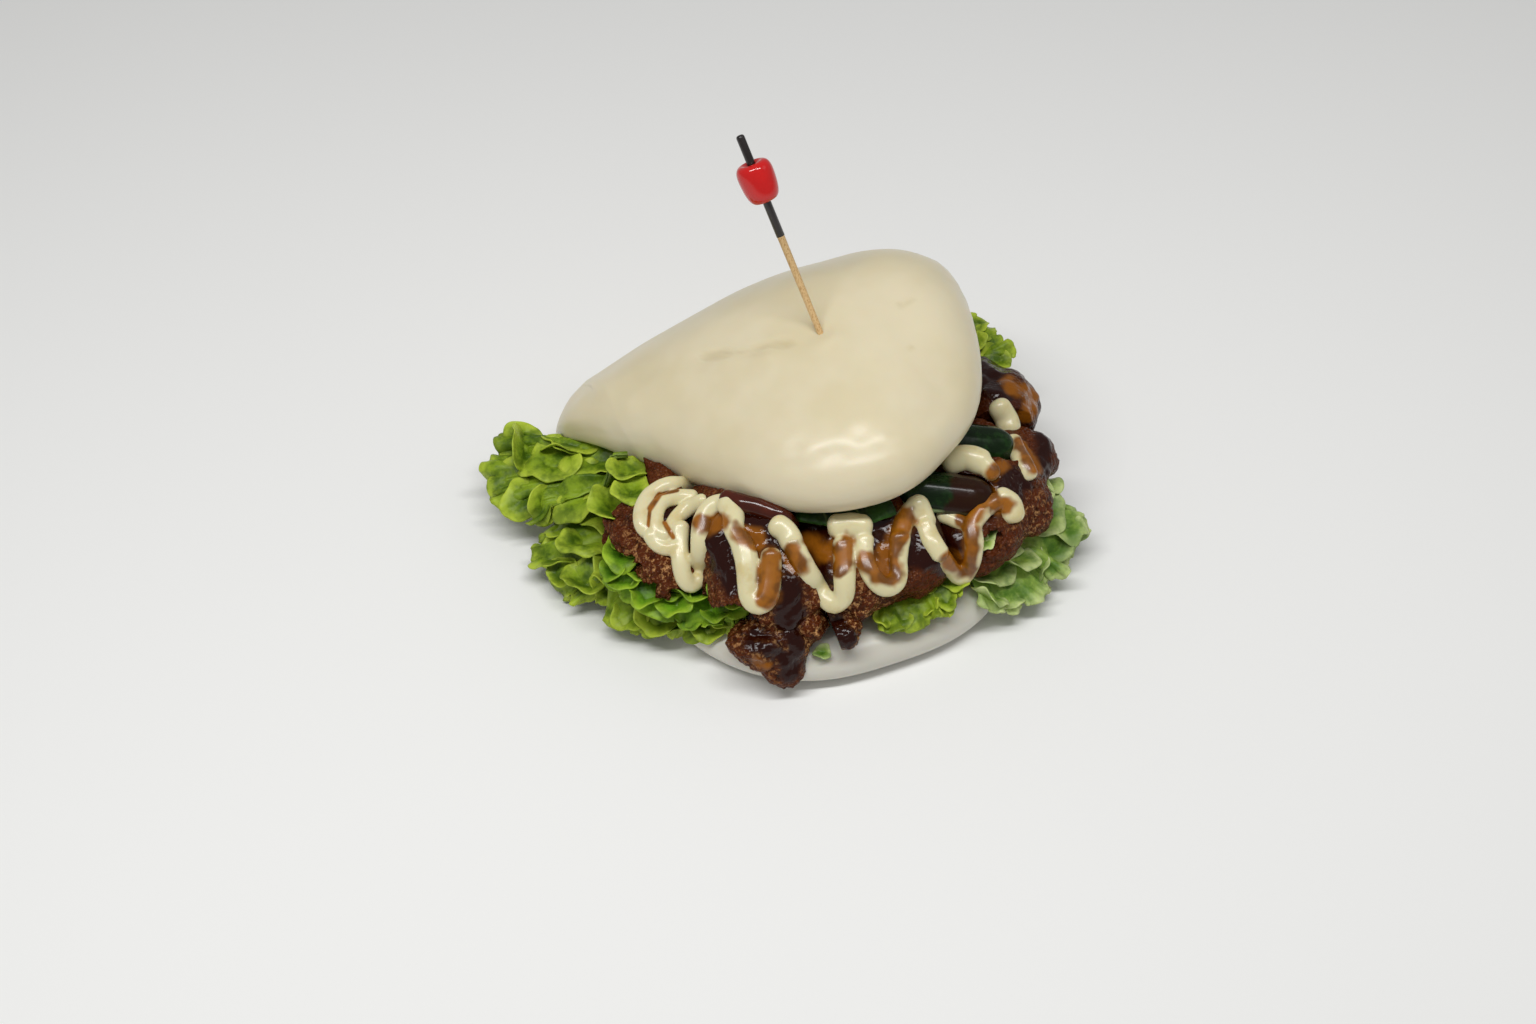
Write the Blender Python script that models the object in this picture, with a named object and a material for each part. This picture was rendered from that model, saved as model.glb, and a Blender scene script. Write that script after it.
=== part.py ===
"""Builds a folded steamed bun filled with fried chicken, lettuce and cucumber, piped with mayonnaise
and held by a pick with a bead.

Metres, +Z up. X runs along the bun's fold, the open side faces -Y, and the origin is the middle of the
flat underside. Sizes below are in millimetres and MM turns them to metres.
"""

import math
from dataclasses import dataclass

import bmesh
import bpy
import numpy as np
from mathutils import Vector, noise
from mathutils.bvhtree import BVHTree

MM = 0.001
GAP = 0.4  # air left between pieces that touch


@dataclass(frozen=True)
class Leaf:
    """A ruffled leaf: its tucked edge, its free margin, the frills on it and its grid."""

    tucked: tuple
    margin: tuple
    lobes: int
    height: float
    cells: tuple
    arch: float = 2.6


# The bun: one oval of dough, folded over the filling.
BUN_HALF_WIDTH = 53.0  # along the fold
BUN_MIDDLE_X = -1.0
LOWER_FLAP_THICK = 12.0
UPPER_FLAP_THICK = 15.0
RIM_RADIUS = 9.0  # roundness of the dough's free edge
OUTLINE_POWER = 2.8  # a superellipse, squarer than an oval
LOWER_TIP_Y = (38.0, 31.0)
LOWER_FRONT_Y = -53.0
TIGHTEST_BEND = 0.66  # most of the fold's bend radius that half the dough's thickness may take
BASE_SINK = 0.7  # depth of the lower flap's belly that is pressed flat
CLOSED_TIP = 8.0  # length over which the left end of the fold rounds off
CLOSED_SHARE = 0.5  # share of the fold's height that is left at that end
CLOSED_TIP_Z = 12.5
FINER = 4  # steps of the fine grid, which gives the directions, to one of the dough's own
BUN_ACROSS = 23
BUN_ALONG = 35
# Where the dough's grid is denser, as share, spread and how much.
CROWDED_ACROSS = ((0.0, 0.09, 2.6), (1.0, 0.09, 2.6))
CROWDED_ALONG = ((0.0, 0.05, 4.0), (1.0, 0.05, 4.0), (0.48, 0.13, 1.3))
PATCH_CORNER = 0.86  # where the dough's rim turns from a long side into a tip

# Stations along the fold, and the measures of the folded section at each.
STATION_X = (-54.0, -38.0, -20.0, 0.0, 20.0, 38.0, 52.0)
FOLD_BACK_Y = (47.5, 48.5, 49.5, 50.0, 50.0, 49.0, 45.5)
FOLD_TOP_Z = (22.0, 31.0, 42.5, 52.0, 56.0, 53.5, 38.0)
CROWN_Y = (43.0, 28.0, 10.0, 3.0, 4.0, 12.0, 36.0)
CROWN_Z = (23.0, 33.0, 46.0, 55.0, 58.0, 56.0, 40.5)
RIM_Y = (40.5, 14.0, -21.0, -35.0, -30.0, -11.0, 29.0)
RIM_Z = (21.5, 26.0, 37.0, 44.0, 45.0, 44.0, 39.0)

# The fried chicken: each piece is a lump of overlapping lobes, as centre and half sizes.
CRUST_RELIEF = 1.5
CRUST_GRAIN = 7.5
CHICKEN_POINTS = 250
CHICKEN = {
    "chicken_left": [
        [(-43, -3, 22), (15, 13, 10), (-45, -13, 19), (11, 12, 8), (-38, 8, 23), (12, 14, 9)],
    ],
    "chicken_front": [
        [(-26, -16, 26), (14, 20, 12), (-28, -31, 20), (14, 13, 10), (-18, -24, 23), (12, 18, 12)],
        [(-28, -41, 13), (9, 8, 6.5), (-28, -46.5, 7), (5, 4.5, 5)],
    ],
    "chicken_middle": [
        [(2, -18, 26), (17, 20, 12), (-6, -34, 22), (13, 14, 10), (10, -34, 22), (12, 13, 10)],
        [(-13, -47, 16), (4.5, 5.5, 3.6)],
    ],
    "chicken_right": [
        [
            (35, -20, 25),
            (15, 18, 12),
            (43, -29, 20),
            (9.5, 10, 7.5),
            (28, -34, 22),
            (12, 13, 9),
            (51, -16, 21),
            (10, 9, 8),
        ],
    ],
    "chicken_back": [
        [(53, 4, 23), (12, 12, 9), (50, 13, 24), (8, 9, 7), (50, -3, 24), (11, 10, 9)],
    ],
}
# Where two pieces press together: a point between them and the direction from the first to the second.
SEAMS = (
    ("chicken_left", "chicken_front", (-37.5, -12, 22), (1.0, -0.35, 0.3)),
    ("chicken_front", "chicken_middle", (-14.5, -26, 22), (1.0, -0.12, 0.25)),
    ("chicken_middle", "chicken_right", (19.5, -26, 22), (1.0, -0.12, -0.05)),
    ("chicken_right", "chicken_back", (49, -7, 22), (0.25, 1.0, 0.0)),
)

# The lettuce: where each leaf is tucked in, its free margin, and its frills.
LEAF_THICK = 1.0
LEAVES = {
    "lettuce_side": Leaf(
        tucked=((-48, 15, 13.8), (-46, 4, 13.8), (-45, -7, 13.8)),
        margin=((-59, 27, 12), (-71, 18, 7), (-73, 9, 4.5), (-71, 0, 4), (-65, -4, 4), (-58, -9, 8)),
        lobes=6,
        height=3.0,
        cells=(30, 4),
    ),
    "lettuce_left": Leaf(
        tucked=((-43, 31, 16), (-43, 24, 15.5), (-45, 16, 14.5)),
        margin=(
            (-55, 39, 16),
            (-63, 48, 15),
            (-70, 50, 13),
            (-75, 45, 11),
            (-76, 36, 9),
            (-72, 27, 8),
            (-65, 22, 9),
        ),
        lobes=9,
        height=2.8,
        cells=(40, 4),
        arch=4.5,
    ),
    "lettuce_low": Leaf(
        tucked=((-48, -8, 13.8), (-39, -19, 13.8), (-31, -27, 13.8)),
        margin=((-64, -10, 5), (-59, -16, 4), (-54, -21, 4), (-48, -26, 5), (-42, -31, 8), (-36, -34, 13)),
        lobes=6,
        height=2.4,
        cells=(28, 3),
    ),
    "lettuce_front": Leaf(
        tucked=((-57, -4, 21), (-51, -8, 21.5), (-45, -17, 17.5), (-39, -24, 16), (-31, -31, 15.5)),
        margin=(
            (-62, -8, 17),
            (-59, -15, 14),
            (-54, -22, 13),
            (-48, -28, 13),
            (-41, -33, 14),
            (-33, -35, 16),
        ),
        lobes=6,
        height=1.8,
        cells=(28, 3),
        arch=1.0,
    ),
    "lettuce_middle": Leaf(
        tucked=((0, -35, 13.8), (10, -35, 13.8), (21, -33, 14.5)),
        margin=((-4, -49, 13), (2, -52, 13), (9, -52, 14), (16, -51, 15), (21, -44, 17)),
        lobes=5,
        height=1.8,
        cells=(20, 3),
    ),
    "lettuce_right": Leaf(
        tucked=((24, -37, 13.5), (33, -31, 13.8), (42, -24, 14), (46, -17, 14.5)),
        margin=(
            (24, -50, 10),
            (32, -51, 6),
            (41, -49, 5),
            (48, -45, 5),
            (56, -40, 6),
            (62, -35, 8),
            (60, -28, 13),
            (53, -24, 15),
        ),
        lobes=9,
        height=2.8,
        cells=(38, 4),
    ),
    "lettuce_back": Leaf(
        tucked=((54, 29, 21), (55, 25, 20), (56, 20, 19)),
        margin=((60, 34, 24), (65, 32, 26), (67, 25, 25), (67, 19, 22), (63, 17, 19)),
        lobes=4,
        height=1.8,
        cells=(18, 3),
    ),
    "lettuce_rim": Leaf(
        tucked=((-13, -15, 33.6), (-3, -19, 34.4), (6, -20, 34.8)),
        margin=((-16, -25, 34.2), (-5, -33.5, 35.6), (7, -34, 35.8)),
        lobes=5,
        height=0.5,
        cells=(15, 2),
    ),
}

# The cucumber: half-round sticks with the skin upward, as the centres of the two ends.
CUCUMBERS = {
    "cucumber_front": ((12, -25, 36.5), (33, -34, 33)),
    "cucumber_back": ((18, -10, 39), (46, -20, 33)),
}
CUCUMBER_WIDTH = 12.0
CUCUMBER_DEPTH = 6.0

# The mayonnaise, piped along strokes. They are laid out square to the spout: across and up, in order.
SPOUT = (-0.2714, -0.6394, 0.7193)
PIPED_WIDTH = 5.0
PIPED_HEIGHT = 4.4
PIPED_STEP = 3.4
PIPED_SIDES = 6
STROKES = (
    ((-27, 10), (-32, 11), (-37.5, 12), (-42, 10), (-44, 6), (-43.5, 2), (-41, 0), (-38, -3), (-35, -4.5)),
    ((-29, 8.5), (-33.5, 8), (-38, 6), (-40, 2.5), (-38.5, -1.5)),
    ((-34, 3), (-34, -4), (-34, -10), (-31.5, -13.5), (-29, -9.5), (-29, -2), (-26, 6), (-22.5, 8)),
    ((-22.5, 8), (-20, 1), (-17, -5), (-17, -12), (-14, -17.5), (-11.5, -14), (-11, -4)),
    ((-10, 2.5), (-6, -4), (0, -13), (4, -17.5), (7, -15), (6.5, -6.5), (8.5, 0)),
    ((3.5, 0.5), (8, 1.2), (13.5, 0.5)),
    ((11, 0), (10.5, -6), (13.5, -11), (18, -13.5), (20.5, -9), (20, -1.5), (23, 5), (26, 8)),
    ((26, 8), (28, 2), (30, -4), (34.5, -9), (37.5, -10.5), (39, -5), (38.5, 0.5)),
    ((31, 4.5), (38, 3), (43, 7), (47, 9), (49, 6.5), (49, 3.5)),
    ((34, 17.5), (38, 17.5), (44, 14.5)),
    ((48, 33.5), (50, 29), (52, 22), (54.5, 14.5)),
)

# Base colour and roughness of each kind of piece, by the start of its name.
FINISHES = {
    "bun": ((0.70, 0.61, 0.42), 0.45),
    "pick": ((0.62, 0.42, 0.19), 0.5),
    "bead": ((0.55, 0.006, 0.006), 0.12),
    "chicken": ((0.11, 0.035, 0.014), 0.4),
    "lettuce": ((0.20, 0.36, 0.045), 0.45),
    "cucumber": ((0.012, 0.045, 0.014), 0.2),
}

# The pick through the crown of the bun, and the bead on it.
PICK_ENTRY = (4.1, 7.4, 62.9)
PICK_DIRECTION = (-0.194, 0.496, 0.852)
PICK_BELOW = 40.0
PICK_ABOVE = 53.3
PICK_RADIUS = 0.95
PICK_PAINTED_RADIUS = 1.05
PICK_PAINTED_FROM = 26.4  # from the entry
BEAD_FROM_ENTRY = 36.0
BEAD_LENGTH = 10.0
BEAD_RADIUS = 4.5
BEAD_TAPER = 0.09  # how much wider it is near its top, and narrower near its lower end


def fair(stations, values, x):
    """Smooth curve through the stations, read at x, with slopes taken from the neighbouring stations."""
    s = np.asarray(stations, float)
    v = np.asarray(values, float)
    slopes = np.gradient(v, s)
    i = np.clip(np.searchsorted(s, x) - 1, 0, len(s) - 2)
    width = s[i + 1] - s[i]
    t = (x - s[i]) / width
    return (
        (1 + 2 * t) * (1 - t) ** 2 * v[i]
        + t * (1 - t) ** 2 * width * slopes[i]
        + t * t * (3 - 2 * t) * v[i + 1]
        + t * t * (t - 1) * width * slopes[i + 1]
    )


def curve_through(points, shares):
    """Points at the given shares of the length of a smooth curve through some others, and its length."""
    p = np.asarray(points, float)
    chord = np.concatenate([[0], np.cumsum(np.linalg.norm(np.diff(p, axis=0), axis=1) ** 0.5)])
    fine = np.linspace(0, chord[-1], 400)
    dense = np.stack([fair(chord, p[:, k], fine) for k in range(p.shape[1])], axis=1)
    length = np.concatenate([[0], np.cumsum(np.linalg.norm(np.diff(dense, axis=0), axis=1))])
    where = np.asarray(shares) * length[-1]
    return np.stack([np.interp(where, length, dense[:, k]) for k in range(p.shape[1])], axis=1), length[-1]


def mesh_object(name, points, faces):
    """Object in metres from points in millimetres and faces, facing outward."""
    mesh = bpy.data.meshes.new(name)
    mesh.from_pydata([tuple(float(c) * MM for c in p) for p in points], [], faces)
    work = bmesh.new()
    work.from_mesh(mesh)
    bmesh.ops.triangulate(work, faces=work.faces[:])
    bmesh.ops.recalc_face_normals(work, faces=work.faces[:])
    if work.calc_volume(signed=True) < 0:
        bmesh.ops.reverse_faces(work, faces=work.faces[:])
    work.to_mesh(mesh)
    work.free()
    mesh.update()
    obj = bpy.data.objects.new(name, mesh)
    bpy.context.scene.collection.objects.link(obj)
    return obj


def surface_of(*objects):
    """One tree for ray casts against objects, in millimetres."""
    points = []
    faces = []
    for obj in objects:
        start = len(points)
        points.extend(v.co / MM for v in obj.data.vertices)
        faces.extend([start + i for i in p.vertices] for p in obj.data.polygons)
    return BVHTree.FromPolygons(points, faces)


def combine(target, others, operation, solver="EXACT"):
    """Joins or cuts target with others, then drops the others."""
    group = bpy.data.collections.new("combining")
    bpy.context.scene.collection.children.link(group)
    for obj in others:
        bpy.context.scene.collection.objects.unlink(obj)
        group.objects.link(obj)
    step = target.modifiers.new("combine", "BOOLEAN")
    step.operation = operation
    step.operand_type = "COLLECTION"
    step.collection = group
    step.solver = solver
    graph = bpy.context.evaluated_depsgraph_get()
    result = bpy.data.meshes.new_from_object(target.evaluated_get(graph))
    target.modifiers.clear()
    old = target.data
    target.data = result
    bpy.data.meshes.remove(old)
    for obj in others:
        bpy.data.objects.remove(obj)
    bpy.data.collections.remove(group)
    return target


def room_for(obj, gap=GAP):
    """A copy of an object swollen by the gap that other pieces keep from it."""
    mesh = obj.data.copy()
    mesh.update()
    ways = [v.normal.copy() for v in mesh.vertices]
    for vert, way in zip(mesh.vertices, ways):
        vert.co += way * gap * MM
    room = bpy.data.objects.new(f"{obj.name}_room", mesh)
    bpy.context.scene.collection.objects.link(room)
    return room


def keep_largest_body(obj):
    """Drops the loose scraps that a cut or a join leaves."""
    work = bmesh.new()
    work.from_mesh(obj.data)
    left = set(work.verts)
    bodies = []
    while left:
        stack = [left.pop()]
        body = set(stack)
        while stack:
            for edge in stack.pop().link_edges:
                for vert in edge.verts:
                    if vert in left:
                        left.discard(vert)
                        body.add(vert)
                        stack.append(vert)
        bodies.append(body)
    bodies.sort(key=len)
    for body in bodies[:-1]:
        bmesh.ops.delete(work, geom=list(body), context="VERTS")
    bmesh.ops.triangulate(work, faces=work.faces[:])
    work.to_mesh(obj.data)
    work.free()


def bun_section(x):
    """Mid-thickness curve of the folded dough at x, from the lower flap's front to the upper flap's rim."""
    from_middle = (x - BUN_MIDDLE_X) / BUN_HALF_WIDTH
    from_tip = min(1.0, max(0.0, x - BUN_MIDDLE_X + BUN_HALF_WIDTH) / CLOSED_TIP)
    opened = CLOSED_SHARE + (1 - CLOSED_SHARE) * math.sqrt(1 - (1 - from_tip) ** 2)
    reach = (1 - min(1.0, abs(from_middle)) ** OUTLINE_POWER) ** (1 / OUTLINE_POWER)
    lower_z = opened * LOWER_FLAP_THICK / 2 + (1 - opened) * CLOSED_TIP_Z
    tip_y = np.interp(from_middle, (-1, 1), LOWER_TIP_Y)
    front_y = tip_y - (tip_y - LOWER_FRONT_Y) * reach
    back_y, top_z, crown_y, crown_z, rim_y, rim_z = (
        fair(STATION_X, values, x) for values in (FOLD_BACK_Y, FOLD_TOP_Z, CROWN_Y, CROWN_Z, RIM_Y, RIM_Z)
    )
    top_z, crown_z, rim_z = (opened * z + (1 - opened) * CLOSED_TIP_Z for z in (top_z, crown_z, rim_z))
    turn = (top_z - lower_z) / 2
    shoulder_y = back_y - turn * (0.7 + 0.25 * reach)
    return [
        (front_y, lower_z),
        (front_y + (shoulder_y - front_y) / 2, lower_z),
        (shoulder_y, lower_z),
        (back_y, lower_z + turn),
        (max(shoulder_y, crown_y + 0.35 * (back_y - crown_y)), top_z),
        (crown_y, crown_z),
        ((crown_y + rim_y) / 2, 0.42 * crown_z + 0.58 * rim_z + 0.12 * abs(crown_y - rim_y)),
        (rim_y, rim_z),
    ]


def fold_bend(x):
    """Radius of the fold's bend at x, at mid-thickness."""
    section = bun_section(x)
    return (section[4][1] - section[2][1]) / 2


def dough_table(rows, samples):
    """Stations along the fold, half the section's length at each, and the sections' points."""
    xs = BUN_MIDDLE_X + BUN_HALF_WIDTH * np.sin(np.linspace(-math.pi / 2, math.pi / 2, rows))
    shares = np.linspace(0, 1, samples)
    curves = []
    halves = []
    for x in xs:
        line, length = curve_through(bun_section(x), shares)
        curves.append(line)
        halves.append(length / 2)
    return xs, np.array(halves), np.array(curves)


def crowded(count, spots):
    """Shares from 0 to 1 that crowd around some spots, where the dough bends most."""
    fine = np.linspace(0, 1, 2001)
    density = 1 + sum(much * np.exp(-(((fine - at) / spread) ** 2)) for at, spread, much in spots)
    total = np.concatenate([[0], np.cumsum((density[1:] + density[:-1]) / 2)])
    return np.interp(np.linspace(0, 1, count) * total[-1], total, fine)


def dough_outline(xs, halves, across, along):
    """The flat dough's edge as the four sides of a patch, each read at some shares, and as one loop."""
    rim = [(x, h) for x, h in zip(xs, halves)]
    ends = np.linspace(1, -1, 15)[1:-1]
    loop = rim + [(xs[-1], halves[-1] * t) for t in ends]
    loop += [(x, -h) for x, h in rim[::-1]] + [(xs[0], -halves[0] * t) for t in ends]
    loop = np.array(loop + loop[:1], float)
    length = np.concatenate([[0], np.cumsum(np.linalg.norm(np.diff(loop, axis=0), axis=1))])
    side = len(rim) + len(ends)
    corner = int(np.searchsorted(xs, BUN_MIDDLE_X - PATCH_CORNER * BUN_HALF_WIDTH))
    marks = [
        length[corner],
        length[len(rim) - 1 - corner],
        length[side + corner],
        length[side + len(rim) - 1 - corner],
        length[corner] + length[-1],
    ]

    def run(start, stop, shares):
        at = (start + (stop - start) * shares) % length[-1]
        return np.stack([np.interp(at, length, loop[:, k]) for k in range(2)], axis=1)

    upper = run(marks[0], marks[1], across)
    right = run(marks[2], marks[1], along)
    front = run(marks[3], marks[2], across)
    left = run(marks[3], marks[4], along)
    return front, upper, left, right, loop


def dough_patch(across, along):
    """Grid over the flat dough, as x, share of the section, and distance from the free edge."""
    xs, halves, curves = dough_table(121, 241)
    wide = crowded(across, CROWDED_ACROSS)
    deep = crowded(along, CROWDED_ALONG)
    front, upper, left, right, loop = dough_outline(xs, halves, wide, deep)
    s = wide[:, None, None]
    t = deep[None, :, None]
    flat = (1 - t) * front[:, None] + t * upper[:, None] + (1 - s) * left[None] + s * right[None]
    flat -= (1 - s) * (1 - t) * front[0] + s * (1 - t) * front[-1]
    flat -= (1 - s) * t * upper[0] + s * t * upper[-1]
    a = loop[:-1]
    step = loop[1:] - a
    size = np.maximum((step**2).sum(1), 1e-9)
    edge = np.zeros(flat.shape[:2])
    for i in range(across):
        off = flat[i][:, None] - a[None]
        along_step = np.clip((off * step).sum(2) / size, 0, 1)
        edge[i] = np.linalg.norm(off - along_step[..., None] * step, axis=2).min(1)
    edge[0] = edge[-1] = 0
    edge[:, 0] = edge[:, -1] = 0
    x = np.clip(flat[..., 0], xs[0], xs[-1])
    share = np.clip(0.5 + flat[..., 1] / np.interp(x, xs, halves) / 2, 0, 1)
    i = np.clip(np.searchsorted(xs, x) - 1, 0, len(xs) - 2)
    f = ((x - xs[i]) / (xs[i + 1] - xs[i]))[..., None]
    j = np.clip((share * 240).astype(int), 0, 239)
    g = (share * 240 - j)[..., None]
    low = curves[i, j] * (1 - g) + curves[i, j + 1] * g
    high = curves[i + 1, j] * (1 - g) + curves[i + 1, j + 1] * g
    middle = np.concatenate([x[..., None], low * (1 - f) + high * f], axis=2)
    return middle, share, edge


def bun_surfaces(across, along):
    """Outer and inner points of the dough, as two grids that meet along its free edge."""
    middle, share, edge = dough_patch((across - 1) * FINER + 1, (along - 1) * FINER + 1)
    upper = np.clip((share - 0.35) / 0.3, 0, 1)
    thick = LOWER_FLAP_THICK + (UPPER_FLAP_THICK - LOWER_FLAP_THICK) * upper
    fold_x = middle[:, middle.shape[1] // 2, 0]
    bend = np.array([fold_bend(x) for x in fold_x])
    tight = TIGHTEST_BEND * bend[:, None]
    t = np.clip(edge / RIM_RADIUS, 0, 1)
    half = np.minimum(thick / 2, tight) * np.sqrt(1 - (1 - t) ** 2)
    normal = np.cross(np.gradient(middle, axis=1), np.gradient(middle, axis=0))
    normal /= np.maximum(np.linalg.norm(normal, axis=2, keepdims=True), 1e-9)
    outer = (middle + normal * half[..., None])[::FINER, ::FINER]
    inner = (middle - normal * half[..., None])[::FINER, ::FINER]
    for grid in (outer, inner):
        grid[..., 2] = np.maximum(grid[..., 2] - BASE_SINK, 0)
    return outer, inner


def two_triangles(points, ring):
    """A four-sided cell split along its shorter diagonal."""
    a, b, c, d = ring
    if math.dist(points[a], points[c]) < math.dist(points[b], points[d]):
        return [(a, b, c), (a, c, d)]
    return [(a, b, d), (b, c, d)]


def bun():
    """The folded dough as one closed shell."""
    outer, inner = bun_surfaces(BUN_ACROSS, BUN_ALONG)
    across, along = outer.shape[:2]
    points = [tuple(p) for p in outer.reshape(-1, 3)]
    below = {}
    for i in range(across):
        for j in range(along):
            if 0 < i < across - 1 and 0 < j < along - 1:
                below[i, j] = len(points)
                points.append(tuple(inner[i, j]))
            else:
                below[i, j] = i * along + j
    faces = []
    for i in range(across - 1):
        for j in range(along - 1):
            ring = ((i, j), (i + 1, j), (i + 1, j + 1), (i, j + 1))
            top = [a * along + b for a, b in ring]
            low = [below[a, b] for a, b in ring]
            faces.extend(two_triangles(points, top))
            faces.extend(two_triangles(points, low[::-1]))
    return mesh_object("bun", points, faces)


def leaf_sheet(leaf, seed):
    """Mid-surface of a frilled leaf as a grid: lobes along the margin turn up and down in turn."""
    nu, nv = leaf.cells
    u = np.linspace(0, 1, nu + 1)
    v = (np.linspace(0, 1, nv + 1) ** 0.65)[None, :, None]
    inner, _ = curve_through(leaf.tucked, u)
    outer, _ = curve_through(leaf.margin, u)
    uneven = 0.35 * np.sin(7 * u + 2.1 * seed) + 0.2 * np.sin(17 * u + seed)
    phase = (math.pi * (leaf.lobes * u + uneven * u * (1 - u) * 4))[:, None, None]
    reach = (outer - inner)[:, None]
    length = np.linalg.norm(reach, axis=2, keepdims=True)
    bulge = np.abs(np.sin(phase)) ** 0.6 - 0.75
    sheet = inner[:, None] + reach * (v + bulge * 0.95 * leaf.height * v**4 / length)
    sheet = sheet + np.array([0, 0, leaf.arch]) * np.sin(math.pi * v)
    along = np.gradient(sheet, axis=0)
    side = np.gradient(sheet, axis=1)
    up = np.cross(side, along)
    up /= np.maximum(np.linalg.norm(up, axis=2, keepdims=True), 1e-9)
    up *= np.sign(up[..., 2:] + 1e-6)
    along /= np.maximum(np.linalg.norm(along, axis=2, keepdims=True), 1e-9)
    size = leaf.height * (0.8 + 0.3 * np.sin(3 * seed + 13 * u))[:, None, None]
    sheet = sheet + up * size * np.sin(phase) * v**3.5 - along * size * 0.35 * np.sin(2 * phase) * v**3.5
    for i in range(nu + 1):
        for j in range(nv + 1):
            rough = noise.noise(Vector(sheet[i, j]) / 6.0 + Vector((seed, 0, 0)))
            sheet[i, j, 2] += 0.9 * rough * float(v[0, j, 0])
    return sheet


def spots_around(x, y, radius):
    """A spot and six more around it."""
    yield x, y
    for k in range(6):
        yield x + radius * math.cos(math.pi * k / 3), y + radius * math.sin(math.pi * k / 3)


def room_between(dough, x, y):
    """Heights of the lower flap's top and of the upper flap's underside over a spot and close around it."""
    floor = 0.0
    ceiling = 200.0
    for spot in spots_around(x, y, 2.4):
        heights = []
        start = -5.0
        while len(heights) < 6:
            hit = dough.ray_cast(Vector((*spot, start)), Vector((0, 0, 1)))
            if hit[0] is None:
                break
            heights.append(hit[0].z)
            start = hit[0].z + 0.02
        flap = [z for z in heights if z < LOWER_FLAP_THICK + 0.6]
        over = [z for z in heights if z >= LOWER_FLAP_THICK + 0.6]
        floor = max([floor, *flap])
        if len(over) > 1:
            ceiling = min(ceiling, over[0])
        elif over and flap:
            floor = max(floor, over[0])
    return floor, ceiling


def leaf(name, dough, leaves, seed):
    """One leaf of even thickness, laid on the dough and on the leaves under it."""
    sheet = leaf_sheet(LEAVES[name], seed)
    clear = LEAF_THICK / 2 + GAP
    for i in range(sheet.shape[0]):
        for j in range(sheet.shape[1]):
            x, y, z = sheet[i, j]
            floor, ceiling = room_between(dough, x, y)
            if leaves is not None:
                for spot in spots_around(x, y, 3.0):
                    hit = leaves.ray_cast(Vector((*spot, 90)), Vector((0, 0, -1)))
                    if hit[0] is not None and z < hit[0].z + 2 * clear:
                        z = hit[0].z + 2 * clear
            if ceiling - floor > 2.4 * clear:
                z = min(max(z, floor + clear + 0.3), ceiling - clear - 0.3)
            else:
                z = floor + clear
            sheet[i, j] = (x, y, max(z, 2 * clear))
    normal = np.cross(np.gradient(sheet, axis=0), np.gradient(sheet, axis=1))
    normal /= np.maximum(np.linalg.norm(normal, axis=2, keepdims=True), 1e-9)
    rows, columns = sheet.shape[:2]
    top = (sheet + normal * LEAF_THICK / 2).reshape(-1, 3)
    low = (sheet - normal * LEAF_THICK / 2).reshape(-1, 3)
    count = len(top)
    faces = []
    for i in range(rows - 1):
        for j in range(columns - 1):
            a, b = i * columns + j, (i + 1) * columns + j
            c, d = b + 1, a + 1
            for x, y, z in ((a, b, c), (a, c, d)):
                faces.append((x, y, z))
                faces.append((x + count, z + count, y + count))
    edge = [(i, 0) for i in range(rows)] + [(rows - 1, j) for j in range(1, columns)]
    edge += [(i, columns - 1) for i in range(rows - 2, -1, -1)]
    edge += [(0, j) for j in range(columns - 2, 0, -1)]
    ring = [i * columns + j for i, j in edge]
    for a, b in zip(ring, ring[1:] + ring[:1]):
        faces.append((a, a + count, b + count))
        faces.append((a, b + count, b))
    return mesh_object(name, np.concatenate([top, low]), faces)


def cucumber(name):
    """A half-round stick of cucumber with a flat underside and rounded ends."""
    start, stop = (np.array(end, float) for end in CUCUMBERS[name])
    way = stop - start
    length = np.linalg.norm(way)
    way /= length
    side = np.cross((0, 0, 1), way)
    side /= np.linalg.norm(side)
    up = np.cross(way, side)
    arc = 12
    low = -up * CUCUMBER_DEPTH * 0.5
    points = [start + low * 0.6]
    shares = np.array([0, 0.03, 0.1, 0.3, 0.5, 0.7, 0.85, 0.94, 0.985, 1.0])
    for share in shares:
        from_end = min(share, 1 - share) * length
        narrow = math.sqrt(max(0.0, 1 - (1 - min(1.0, (from_end + 0.8) / 6.0)) ** 2))
        at = start + way * share * length + low
        for k in range(arc):
            turn = math.pi * min(k, 7) / 7
            across = math.cos(turn) if k < 8 else 2 * (k - 7) / 5 - 1
            rise = math.sin(turn) * (0.35 + 0.65 * narrow) if k < 8 else 0.0
            points.append(at + side * across * CUCUMBER_WIDTH / 2 * narrow + up * rise * CUCUMBER_DEPTH)
    points.append(stop + low * 0.6)
    faces = []
    last = len(points) - 1
    for i in range(len(shares) - 1):
        for k in range(arc):
            a = 1 + i * arc + k
            b = 1 + i * arc + (k + 1) % arc
            faces.append((a, b, b + arc, a + arc))
    for k in range(arc):
        faces.append((0, 1 + (k + 1) % arc, 1 + k))
        faces.append((last, last - arc + k, last - arc + (k + 1) % arc))
    return mesh_object(name, points, faces)


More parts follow.
